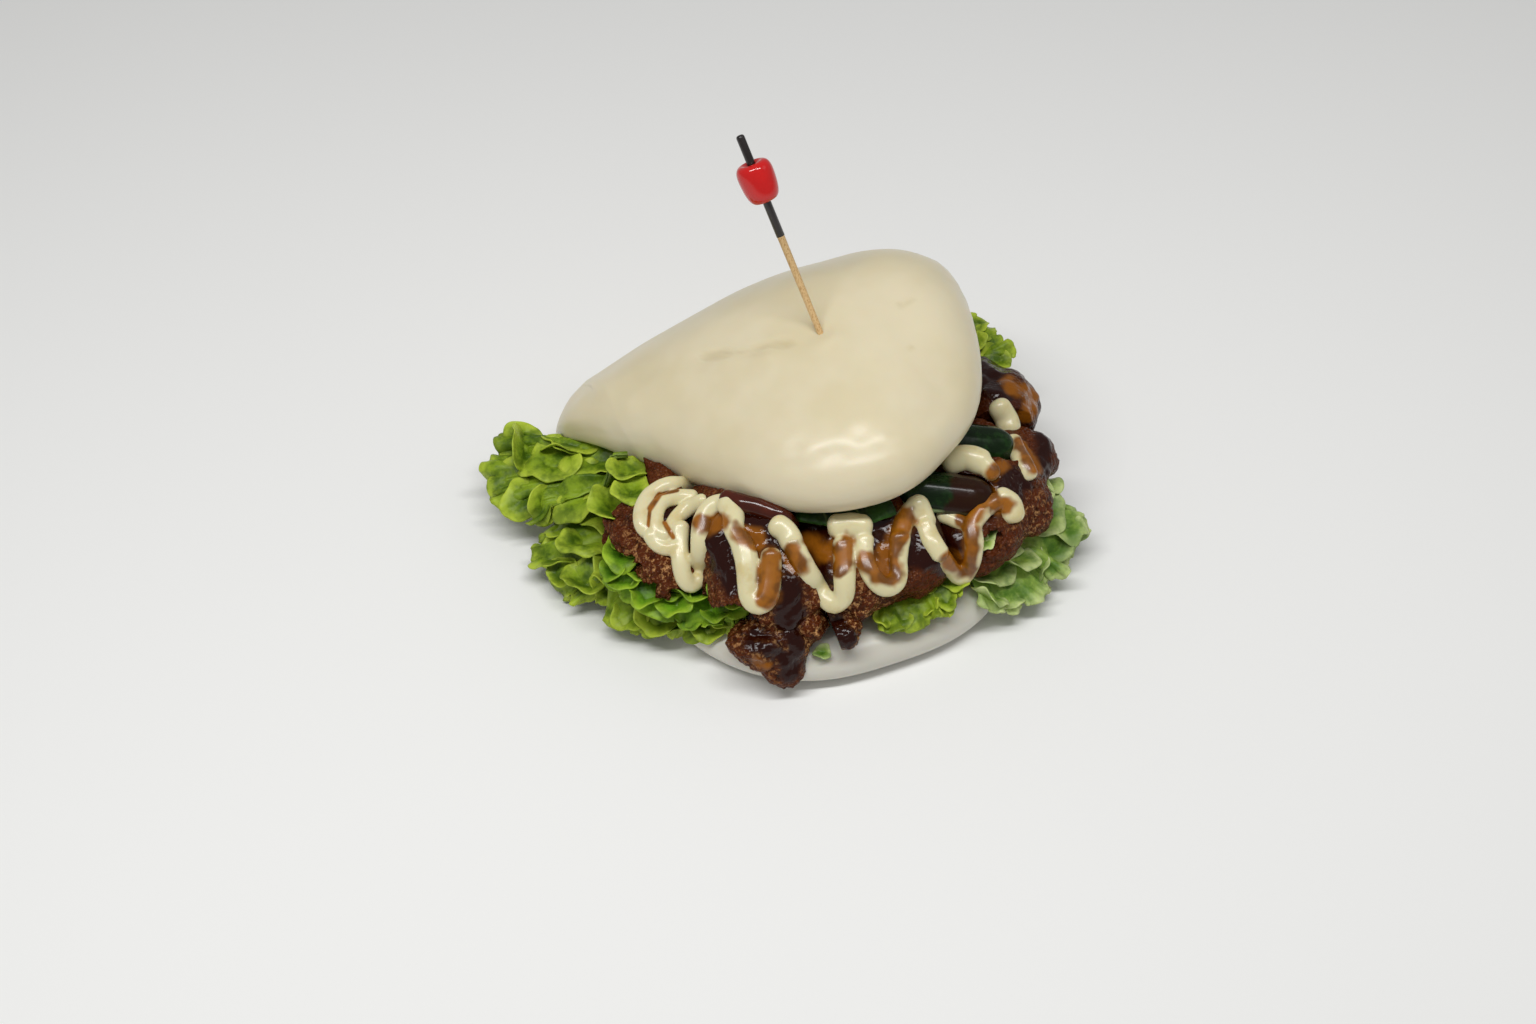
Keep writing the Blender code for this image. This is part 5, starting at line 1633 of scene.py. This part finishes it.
@dataclass
class FriedChicken:
    """The fried chicken: lumps of lobes that run into each other under a craggy crust."""

    relief: float = 1.5
    grain: float = 7.5
    gap: float = 0.4
    smooth_pieces: tuple = ("chicken_back",)
    # Where the crust is a lighter tan, as spot and width.
    tan_spots: tuple = (
        ((-14, -42, 20), 12.0),
        ((-13, -50, 15), 8.0),
        ((-44, -14, 24), 14.0),
        ((-32, -43, 17), 8.0),
        ((41, -36, 22), 8.0),
    )
    # Crumbs of three sizes, as width, seed and height.
    crumbs: tuple = ((3.3, 11, 0.85), (1.6, 12, 0.55), (0.85, 13, 0.35))
    dark_edge: float = 2.6
    amber_edge: float = 2.2
    sauce_height: float = 0.2
    sauce_drops: float = 0.55
    pieces: dict = field(
        default_factory=lambda: {
            "chicken_left": (
                ((-43, -3, 22), (15, 13, 10), (-45, -13, 19), (11, 12, 8), (-38, 8, 23), (12, 14, 9)),
            ),
            "chicken_front": (
                ((-26, -16, 26), (14, 20, 12), (-28, -31, 20), (14, 13, 10), (-18, -24, 23), (12, 18, 12)),
                ((-29.3, -41, 13.2), (10.8, 8.2, 6.5), (-28, -46.5, 7), (5.4, 4.8, 5)),
                ((-20.5, -41.5, 16.5), (5.2, 5.4, 5)),
            ),
            "chicken_middle": (
                ((2, -18, 26), (17, 20, 12), (-6, -34, 22), (13, 14, 10), (10, -34, 22), (12, 13, 10)),
                ((-13, -47, 16), (4.5, 5.5, 3.6)),
                ((-11.5, -42.5, 17.5), (6, 5.2, 5)),
            ),
            "chicken_right": (
                ((35, -20, 25), (15, 18, 12), (43, -29, 20), (9.5, 10, 7.5))
                + ((28, -34, 22), (12, 13, 9), (51, -16, 21), (10, 9, 8)),
            ),
            "chicken_back": (((53, 4, 23), (12, 12, 9), (50, 13, 24), (8, 9, 7), (50, -3, 24), (11, 10, 9)),),
        }
    )
    # Where two pieces press together: a point between them and the direction from the first to the second.
    seams: tuple = (
        ("chicken_left", "chicken_front", (-37.5, -12, 22), (1.0, -0.35, 0.3)),
        ("chicken_front", "chicken_middle", (-14.5, -26, 22), (1.0, -0.12, 0.25)),
        ("chicken_middle", "chicken_right", (19.5, -26, 22), (1.0, -0.12, -0.05)),
        ("chicken_right", "chicken_back", (49, -7, 22), (0.25, 1.0, 0.0)),
    )

    @staticmethod
    def ball(level: int) -> tuple[np.ndarray, np.ndarray, np.ndarray]:
        """Directions all round.

        Args:
            level: how many times the ball's faces are split.

        Returns:
            the directions, the triangles between them, and the edges.
        """
        work = bmesh.new()
        bmesh.ops.create_icosphere(work, subdivisions=level, radius=1.0)
        ways = np.array([v.co for v in work.verts])
        faces = np.array([[v.index for v in f.verts] for f in work.faces])
        edges = np.array([[v.index for v in e.verts] for e in work.edges])
        work.free()
        return ways / np.linalg.norm(ways, axis=1, keepdims=True), faces, edges

    @staticmethod
    def lobes_reach(centre: np.ndarray, ways: np.ndarray, lobes: tuple) -> np.ndarray:
        """Distance along each way to the skin of lobes that run softly into each other.

        Args:
            centre: where the ways start.
            ways: the directions.
            lobes: centre and half sizes of each lobe in turn.

        Returns:
            one distance per way.
        """
        steps = np.arange(0.5, 60.0, 0.5)
        total = np.zeros((len(ways), len(steps)))
        for middle, half in zip(lobes[::2], lobes[1::2]):
            start = (centre - np.array(middle, float)) / np.array(half, float)
            slope = ways / np.array(half, float)
            a = (slope**2).sum(1)[:, None]
            b = (slope @ start)[:, None]
            depth = np.sqrt(np.maximum(a * steps**2 + 2 * b * steps + start @ start, 0))
            total += np.exp(-6.0 * (depth - 1))
        inside = total > 1
        last = inside.shape[1] - 1 - np.argmax(inside[:, ::-1], axis=1)
        row = np.arange(len(ways))
        low = np.log(total[row, last])
        high = np.log(total[row, np.minimum(last + 1, len(steps) - 1)])
        return steps[last] + 0.5 * low / np.maximum(low - high, 1e-9)

    def crags(self, points: np.ndarray) -> np.ndarray:
        """Height of the crust's large crags.

        Args:
            points: where.

        Returns:
            one height per point, about 0 on average.
        """
        heights = np.zeros(len(points))
        for i, point in enumerate(points):
            p = Vector(point) / self.grain
            heights[i] = self.relief * (0.6 - 1.3 * noise.voronoi(p)[0][0] + 0.5 * noise.noise(p * 1.7))
        return heights

    def planes_of(self, name: str) -> list[tuple[np.ndarray, np.ndarray]]:
        """Planes that stop a piece.

        Args:
            name: the piece.

        Returns:
            each plane as a point and an outward direction.
        """
        planes = []
        for first, second, at, facing in self.seams:
            way = np.array(facing) / np.linalg.norm(facing)
            if name == first:
                planes.append((np.array(at, float), way))
            elif name == second:
                planes.append((np.array(at, float), -way))
        return planes

    def lump(self, name: str, lobes: tuple, level: int, around: BVHTree, spout: Spout) -> tuple:
        """One lump with its crust.

        Args:
            name: the piece that it is part of.
            lobes: centre and half sizes of each lobe in turn.
            level: how fine it is.
            around: what it stays clear of.
            spout: where the sauces lie.

        Returns:
            points, triangles and the values for its material.
        """
        ways, faces, edges = self.ball(level)
        centre = np.array(lobes[0], float)
        reach = self.lobes_reach(centre, ways, lobes)
        reach = reach + self.crags(centre + ways * reach[:, None])
        at = centre + ways * reach[:, None]
        dark = spout.covered(at, Sauce.DARK, self.dark_edge)
        amber = spout.covered(at, Sauce.AMBER, self.amber_edge)
        wet = np.maximum(dark, amber)
        # Crumbs stand on the crags, and sauce partly fills between them.
        crumbs = sum(high * (0.6 - pebbles(at, wide, seed)) for wide, seed, high in self.crumbs)
        crumbs = crumbs * (0.3 if name in self.smooth_pieces else 1.0)
        drop = self.sauce_drops * soft_noise(at, 3.0, 14)
        reach = reach + crumbs * (1 - 0.5 * dark - 0.6 * amber) + wet * (self.sauce_height + drop)
        for point, facing in self.planes_of(name):
            slope = ways @ facing
            limit = ((point - centre) @ facing - self.gap / 2) / np.maximum(slope, 1e-6)
            reach = np.where(slope > 0, np.minimum(reach, limit), reach)
        reach = np.maximum(self.clear(centre, ways, reach, edges, around), 1.0)
        at = centre + ways * reach[:, None]
        tan = sum(np.exp(-((np.linalg.norm(at - spot, axis=1) / width) ** 2)) for spot, width in self.tan_spots)
        # The crumbs' heights, as crag, set where the crust is painted shade in its hollows.
        marks = {"crag": crumbs, Sauce.DARK.value: dark, Sauce.AMBER.value: amber, "tan": np.clip(tan, 0, 1)}
        if name in self.smooth_pieces:
            marks[Sauce.DARK.value] = np.maximum(dark, 0.55)
        return at, faces, marks

    @staticmethod
    def clear(
        centre: np.ndarray, ways: np.ndarray, reach: np.ndarray, edges: np.ndarray, around: BVHTree
    ) -> np.ndarray:
        """Reach cut back before what is around.

        Args:
            centre: where the ways start.
            ways: the directions.
            reach: wished distance along each.
            edges: pairs of neighbouring ways.
            around: what to stay clear of.

        Returns:
            the reach that stays clear.
        """
        limit = np.full(len(ways), 1e9)
        start = Vector(centre)
        for i, way in enumerate(ways):
            hit = around.ray_cast(start, Vector(way), float(reach[i]) + 1.5)
            if hit[0] is not None:
                limit[i] = hit[3] - 0.25
        near = limit.copy()
        np.minimum.at(near, edges[:, 0], limit[edges[:, 1]] + 0.05)
        np.minimum.at(near, edges[:, 1], limit[edges[:, 0]] + 0.05)
        return np.minimum(reach, near)

    def build(self, around: BVHTree, spout: Spout) -> list[bpy.types.Object]:
        """Builds and dresses the pieces.

        Args:
            around: the bun, lettuce and cucumber.
            spout: where the sauces lie.

        Returns:
            the pieces.
        """
        finish = FriedCrust().material()
        level = 7
        built = []
        for name, lumps in self.pieces.items():
            points, faces, marks = [], [], []
            start = 0
            for i, lobes in enumerate(lumps):
                at, triangles, values = self.lump(name, lobes, level - (1 if i else 0), around, spout)
                points.append(at)
                faces.append(triangles + start)
                marks.append(values)
                start += len(at)
            joined = {key: np.concatenate([m[key] for m in marks]) for key in marks[0]}
            obj = make_mesh(f"{name}_crust", np.concatenate(points), np.concatenate(faces).tolist(), joined)
            settle(obj, finish, (name,))
            built.append(obj)
        return built


# Each stroke's width, and its points across and up from the spout.
STROKES = (
    (4.3, ((-28.9, 11.7), (-34.1, 12.0), (-38.5, 11.2), (-42.0, 8.6), (-43.4, 5.0), (-43.2, 1.8), (-41.8, 0.2))),
    (3.9, ((-30.6, 8.6), (-35.2, 8.6), (-38.9, 6.9), (-39.9, 3.5), (-39.6, 0.6), (-37.6, -0.9))),
    (3.8, ((-28.0, 7.9), (-32.4, 5.6), (-35.2, 3.0), (-36.0, 0.6))),
    (3.7, ((-41.2, -0.6), (-39.6, -2.9), (-37.0, -4.0), (-34.6, -3.4))),
    (4.3, ((-33.9, 1.6), (-33.8, -2.0), (-33.5, -7.5), (-32.6, -11.4), (-30.9, -13.0), (-29.1, -11.4))),
    (4.7, ((-29.1, -11.4), (-28.7, -6.0), (-28.6, -1.0), (-27.9, 3.0), (-25.6, 6.3), (-22.3, 7.3))),
    (5.2, ((-22.3, 7.3), (-20.6, 4.6), (-20.3, 1.0), (-18.4, -2.6), (-17.2, -6.5), (-17.0, -12.0))),
    (5.0, ((-17.0, -12.0), (-16.4, -15.6), (-14.4, -17.2), (-12.4, -15.8), (-11.5, -12.0), (-11.2, -5.2))),
    (5.8, ((-9.8, 1.8), (-7.6, 0.2), (-6.2, -2.4))),
    (5.0, ((-6.2, -2.4), (-2.6, -9.0), (1.0, -14.6), (3.9, -17.3), (6.2, -15.8), (6.6, -10.5), (6.2, -2.4))),
    (6.2, ((4.6, 1.4), (8.0, 1.7), (11.6, 1.2))),
    (4.8, ((11.6, -1.5), (11.4, -5.2), (13.2, -10.4), (16.4, -13.2), (19.4, -11.8), (19.9, -6.0), (20.4, -1.0))),
    (4.6, ((20.4, -1.0), (21.4, 2.6), (23.6, 5.8))),
    (6.0, ((24.6, 7.2), (25.8, 4.6), (26.6, 2.2))),
    (4.8, ((26.6, 2.2), (28.0, -1.7), (30.4, -5.4))),
    (4.4, ((30.4, -5.4), (33.2, -8.8), (36.2, -11.2), (38.2, -8.6), (39.0, -3.2), (38.7, 1.8), (41.4, 5.4))),
    (4.0, ((31.2, 4.4), (33.5, 3.5), (36.6, 2.0))),
    (4.4, ((38.7, 1.8), (41.4, 5.4), (45.0, 7.8))),
    (6.0, ((46.0, 8.6), (48.4, 7.0), (49.0, 4.2))),
    (6.2, ((33.6, 17.6), (38.0, 18.6), (41.6, 17.4))),
    (4.8, ((41.6, 17.4), (44.2, 14.6))),
    (6.0, ((47.8, 32.2), (49.6, 29.4), (50.6, 26.6))),
    (4.4, ((50.4, 23.4), (52.2, 18.4), (53.9, 14.4))),
)


@dataclass
class MayonnaiseStrokes:
    """The mayonnaise, piped in strokes over the filling."""

    flatness: float = 0.72
    plumpness: float = 0.54
    bedding: float = 0.12  # how far the strokes' middles are above the filling, in widths
    run_bedding: float = 0.3
    amber_edge: float = 1.5
    amber_spread: float = 0.35
    step: float = 0.8
    sides: int = 20
    voxel: float = 0.34
    strokes: tuple = STROKES
    # A thick run of sauce close under the flap's rim.
    sauce_run: tuple = (4.6, ((-22.5, 8.2), (-18.5, 7.2), (-13.0, 5.7), (-8.9, 4.0), (-6.0, 1.6)))

    def line(self, stroke: tuple, high: float, filling: BVHTree, spout: Spout) -> np.ndarray:
        """Middle line of a stroke where it lies on the filling, softened over the dips.

        Args:
            stroke: its points across and up from the spout.
            high: how far its middle is above the filling.
            filling: what it lies on.
            spout: the direction that it was piped from.

        Returns:
            the line's points.
        """
        across, up, out = spout.axes()
        _, length = curve_through(stroke, np.array([0, 1]))
        count = max(4, int(round(length / self.step)) + 1)
        flat, _ = curve_through(stroke, np.linspace(0, 1, count))
        height = np.full(count, np.nan)
        for i, (u, v) in enumerate(flat):
            hit = filling.ray_cast(Vector(across * u + up * v + out * 120), Vector(-out))
            if hit[0] is not None:
                height[i] = 120 - hit[3]
        known = ~np.isnan(height)
        height = np.interp(np.arange(count), np.arange(count)[known], height[known])
        reach = max(1, int(round(3.0 / self.step)))
        padded = np.pad(height, reach, mode="edge")
        soft = np.array([padded[i : i + 2 * reach + 1].mean() for i in range(count)])
        height = np.maximum(soft, height - 0.8) + high
        for _ in range(3):
            padded = np.pad(height, 1, mode="edge")
            height = (padded[:-2] + 2 * padded[1:-1] + padded[2:]) / 4
        return flat[:, :1] * across + flat[:, 1:] * up + height[:, None] * out

    def tube(self, line: np.ndarray, width: float, out: np.ndarray, seed: int, start: int) -> tuple:
        """One stroke as a closed tube with round ends.

        Args:
            line: its middle line.
            width: how wide it is.
            out: direction of the spout.
            seed: which unevenness.
            start: number of its first point.

        Returns:
            points and faces.
        """
        way = np.gradient(line, axis=0)
        way /= np.linalg.norm(way, axis=1, keepdims=True)
        steps = np.arange(1, 5) / 5 * width * 0.42
        line = np.concatenate([line[0] - way[0] * steps[::-1, None], line, line[-1] + way[-1] * steps[:, None]])
        way = np.concatenate([np.repeat(way[:1], 4, 0), way, np.repeat(way[-1:], 4, 0)])
        side = np.cross(out, way)
        side /= np.linalg.norm(side, axis=1, keepdims=True)
        rise = np.cross(way, side)
        from_end = np.minimum(np.arange(len(line)), np.arange(len(line))[::-1])
        blunt = np.sqrt(1 - (1 - np.clip((from_end + 0.4) / 5.4, 0, 1)) ** 2)
        swell = 1 + 0.1 * soft_noise(line, 6.0, 30 + seed) + 0.04 * soft_noise(line, 2.2, 50 + seed)
        size = (blunt * swell)[:, None, None]
        turn = 2 * math.pi * np.arange(self.sides)[None, :, None] / self.sides
        ring = side[:, None] * np.cos(turn) + rise[:, None] * np.sin(turn) * self.flatness
        ring = ring * width * self.plumpness
        points = (line[:, None] + ring * size).reshape(-1, 3)
        number = start + np.arange(len(points)).reshape(len(line), self.sides)
        after = np.roll(number, -1, axis=1)
        faces = np.stack([number[:-1], after[:-1], after[1:], number[1:]], axis=-1).reshape(-1, 4).tolist()
        faces.append(number[0][::-1].tolist())
        faces.append(number[-1].tolist())
        return points, faces

    def melted(
        self, name: str, strokes: tuple, high: float, filling: BVHTree, spout: Spout
    ) -> bpy.types.Object:
        """Strokes that run into each other.

        Args:
            name: the body's name.
            strokes: width and points of each.
            high: how far their middles are above the filling, in widths.
            filling: what they lie on.
            spout: the direction that they were piped from.

        Returns:
            the strokes as one body.
        """
        out = spout.axes()[2]
        points: list = []
        faces: list = []
        start = 0
        for seed, (width, stroke) in enumerate(strokes):
            line = self.line(stroke, high * width, filling, spout)
            at, ring = self.tube(line, width, out, seed, start)
            points.append(at)
            faces.extend(ring)
            start += len(at)
        obj = make_mesh(name, np.concatenate(points), faces)
        melt = obj.modifiers.new("melt", "REMESH")
        melt.mode = "VOXEL"
        melt.voxel_size = self.voxel * 1.0 * MM
        soften = obj.modifiers.new("soften", "SMOOTH")
        soften.factor = 0.5
        soften.iterations = 8
        with_modifiers(obj)
        return obj

    def build(self, filling: BVHTree, spout: Spout, nodes: tuple[str, ...]) -> list[bpy.types.Object]:
        """Builds and dresses the strokes.

        Args:
            filling: what they lie on.
            spout: the direction that they were piped from.
            nodes: the CAD nodes that hold them.

        Returns:
            the mayonnaise and the run of sauce.
        """
        mayonnaise = self.melted("mayonnaise_strokes", self.strokes, self.bedding, filling, spout)
        amber = spout.covered(points_of(mayonnaise), Sauce.AMBER, self.amber_edge, self.amber_spread)
        write_marks(mayonnaise, {Sauce.AMBER.value: amber})
        settle(mayonnaise, PipedMayonnaise().material(), nodes)
        run = self.melted("sauce_run", (self.sauce_run,), self.run_bedding, filling, spout)
        settle(run, SoyGlaze().material(), nodes)
        return [mayonnaise, run]


@dataclass
class BeadedPick:
    """The bamboo pick through the crown of the bun, its upper part painted, with a bead on it."""

    entry: tuple = (4.1, 7.4, 62.9)
    direction: tuple = (-0.194, 0.496, 0.852)
    below: float = 40.0
    above: float = 53.3
    radius: float = 0.95
    painted_radius: float = 1.05
    painted_from: float = 26.4
    bead_from_entry: float = 36.0
    bead_length: float = 10.0
    bead_radius: float = 4.5
    bead_taper: float = 0.09
    bead_neck: float = 1.9

    def axis(self) -> np.ndarray:
        """Direction of the pick."""
        return np.array(self.direction) / np.linalg.norm(self.direction)

    def turned(
        self, name: str, stations: list[tuple[float, float]], start: np.ndarray, sides: int
    ) -> bpy.types.Object:
        """Solid of revolution around the pick's line.

        Args:
            name: its name.
            stations: distance along and radius; radius 0 closes an end, a closed loop makes a ring.
            start: where distances start.
            sides: how many sides it has.

        Returns:
            the solid.
        """
        up = self.axis()
        side = np.cross(up, (1.0, 0.0, 0.0))
        side /= np.linalg.norm(side)
        other = np.cross(up, side)
        points: list = []
        rings: list = []
        for distance, radius in stations:
            at = start + up * distance
            count = 1 if radius == 0 else sides
            rings.append([len(points) + k % count for k in range(sides)])
            for k in range(count):
                turn = 2 * math.pi * k / sides
                points.append(at + side * radius * math.cos(turn) + other * radius * math.sin(turn))
        closed = stations[0][1] > 0 and stations[-1][1] > 0
        pairs = list(zip(rings, rings[1:])) + ([(rings[-1], rings[0])] if closed else [])
        faces = []
        for low, high in pairs:
            for k in range(sides):
                corners = [low[k], low[(k + 1) % sides], high[(k + 1) % sides], high[k]]
                kept = [c for i, c in enumerate(corners) if c != corners[i - 1]]
                faces.append(kept[::-1])
        return make_mesh(name, np.array(points), faces)

    def build(self) -> tuple[bpy.types.Object, bpy.types.Object]:
        """Builds and dresses the pick and its bead.

        Returns:
            the pick and the bead.
        """
        start = np.array(self.entry) - self.axis() * self.below
        top = self.below + self.above
        r = self.radius
        stations = [(0.0, 0.0), (0.6, 0.25), (3.0, 0.5 * r), (7.0, 0.72 * r), (self.below, 0.85 * r)]
        stations += [(self.below + self.painted_from - 0.1, r)]
        r = self.painted_radius
        stations += [(self.below + self.painted_from, r), (top - 0.6, r), (top - 0.3, 0.9 * r)]
        stations += [(top - 0.1, 0.7 * r), (top, 0.0)]
        stick = self.turned("bamboo_pick", stations, start, 32)
        settle(stick, SplitBamboo().material(self.axis()), ("pick",))
        stick.data.materials.append(LacquerPaint("black_lacquer", "#14100F", "#241C1B", 0.32).material())
        along = (points_of(stick) - start) @ self.axis()
        for face in stick.data.polygons:
            if min(along[i] for i in face.vertices) > self.below + self.painted_from - 0.01:
                face.material_index = 1
        bead = self.turned("lacquered_bead", self.bead_profile(), start, 64)
        settle(bead, LacquerPaint("red_lacquer", "#D01210", "#BE0C0C", 0.12).material(), ("bead",))
        return stick, bead

    def bead_profile(self) -> list[tuple[float, float]]:
        """Outline of the barrel-shaped bead and its bore.

        Returns:
            distance along and radius of each point.
        """
        half = self.bead_length / 2
        low = self.below + self.bead_from_entry
        bore = self.painted_radius + 0.05
        profile = []
        for k in range(41):
            turn = math.pi * (k / 40 - 0.5)
            flat = math.copysign(abs(math.sin(turn)) ** 0.75, math.sin(turn))
            widest = self.bead_radius * (1 + self.bead_taper * flat)
            radius = self.bead_neck + (widest - self.bead_neck) * max(0.0, math.cos(turn)) ** 0.6
            profile.append((low + half * (1 + flat), radius))
        profile[0] = (low + 0.35, 1.7)
        profile[-1] = (low + self.bead_length - 0.35, 1.7)
        return profile + [(low + self.bead_length - 0.9, bore), (low + 0.9, bore)]


@dataclass
class Studio:
    """A pale floor, soft lights, and a camera at the photograph's angle. Distances are in millimetres."""

    camera_at: tuple = (-182.02, -398.11, 460.38)
    camera_aim: tuple = (-8.31, 11.13, 0.0)
    lens: float = 56.25
    sensor: float = 36.0
    floor_half: float = 3000.0
    floor_tone: str = "#F4F4F2"
    floor_shade: str = "#F0F0EE"
    sky_tone: str = "#FFFFFF"
    sky_strength: float = 0.3
    aim_height: float = 30.0
    # Each lamp's name, place, direction of its long side, sides and watts.
    lamps: tuple = (
        ("overhead_strip", (-110, -130, 650), (-0.96, 0.25, 0), (760, 90), 3.4),
        ("window_side", (520, -160, 560), (0, 1, 0), (300, 300), 0.12),
    )

    def lamp(self, name: str, at: tuple, along: tuple, size: tuple, power: float) -> None:
        """Adds a soft rectangular lamp that faces the bun.

        Args:
            name: its name.
            at: where it is.
            along: direction of its long side.
            size: its long and its short side.
            power: its watts.
        """
        data = bpy.data.lights.new(name, "AREA")
        data.shape = "RECTANGLE"
        data.size, data.size_y = size[0] * MM, size[1] * MM
        data.energy = power
        obj = bpy.data.objects.new(name, data)
        back = (Vector(at) - Vector((0, 0, self.aim_height))).normalized()
        side = (Vector(along) - back * back.dot(Vector(along))).normalized()
        turn = Matrix((side, back.cross(side), back)).transposed().to_4x4()
        obj.matrix_world = Matrix.Translation(Vector(at) * MM) @ turn
        bpy.context.scene.collection.objects.link(obj)

    def build(self) -> None:
        """Builds the floor, the lights and the camera."""
        half = self.floor_half
        corners = [(-half, -half, 0), (half, -half, 0), (half, half, 0), (-half, half, 0)]
        floor = make_mesh("floor", np.array(corners, float), [(0, 1, 2, 3)])
        material, tree, output, place = new_material("matt_board")
        drift = add_node(tree, "TexNoise", inputs={"Vector": place, "Scale": per_mm(300), "Detail": 1.0})
        tone = add_node(tree, "Mix", RGBA, {
            0: drift, 6: hex_colour(self.floor_tone), 7: hex_colour(self.floor_shade)
        })
        shader = add_node(tree, "BsdfPrincipled", inputs={"Base Color": tone.outputs[2], "Roughness": 0.85})
        tree.links.new(shader.outputs[0], output.inputs[0])
        floor.data.materials.append(material)
        floor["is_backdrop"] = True
        world = bpy.data.worlds.new("soft_room")
        world.use_nodes = True
        sky = next(n for n in world.node_tree.nodes if n.type == "BACKGROUND")
        sky.inputs["Color"].default_value = hex_colour(self.sky_tone)
        sky.inputs["Strength"].default_value = self.sky_strength
        bpy.context.scene.world = world
        for lamp in self.lamps:
            self.lamp(*lamp)
        data = bpy.data.cameras.new("camera")
        data.lens = self.lens
        data.sensor_width = self.sensor
        data.sensor_fit = "HORIZONTAL"
        data.clip_start = 0.01
        camera = bpy.data.objects.new("camera", data)
        camera.location = Vector(self.camera_at) * MM
        way = Vector(self.camera_aim) - Vector(self.camera_at)
        camera.rotation_euler = way.to_track_quat("-Z", "Y").to_euler()
        bpy.context.scene.collection.objects.link(camera)
        bpy.context.scene.camera = camera
        bpy.context.scene.view_settings.view_transform = "Standard"


def main() -> None:
    """Builds every piece in order."""
    logging.basicConfig(level=logging.INFO, format="%(message)s")
    bun = FoldedBun().build()
    leaves = LettuceBed().build(bun)
    spout = Spout()
    sticks = CucumberSticks().build(spout)
    chicken = FriedChicken()
    pieces = chicken.build(tree_of(bun, *leaves, *sticks), spout)
    MayonnaiseStrokes().build(tree_of(*pieces, *sticks), spout, tuple(chicken.pieces))
    BeadedPick().build()
    Studio().build()
    boxes = [[list(map(float, corner)) for corner in box] for box in (CAD_BOX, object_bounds())]


if __name__ == "__main__":
    main()
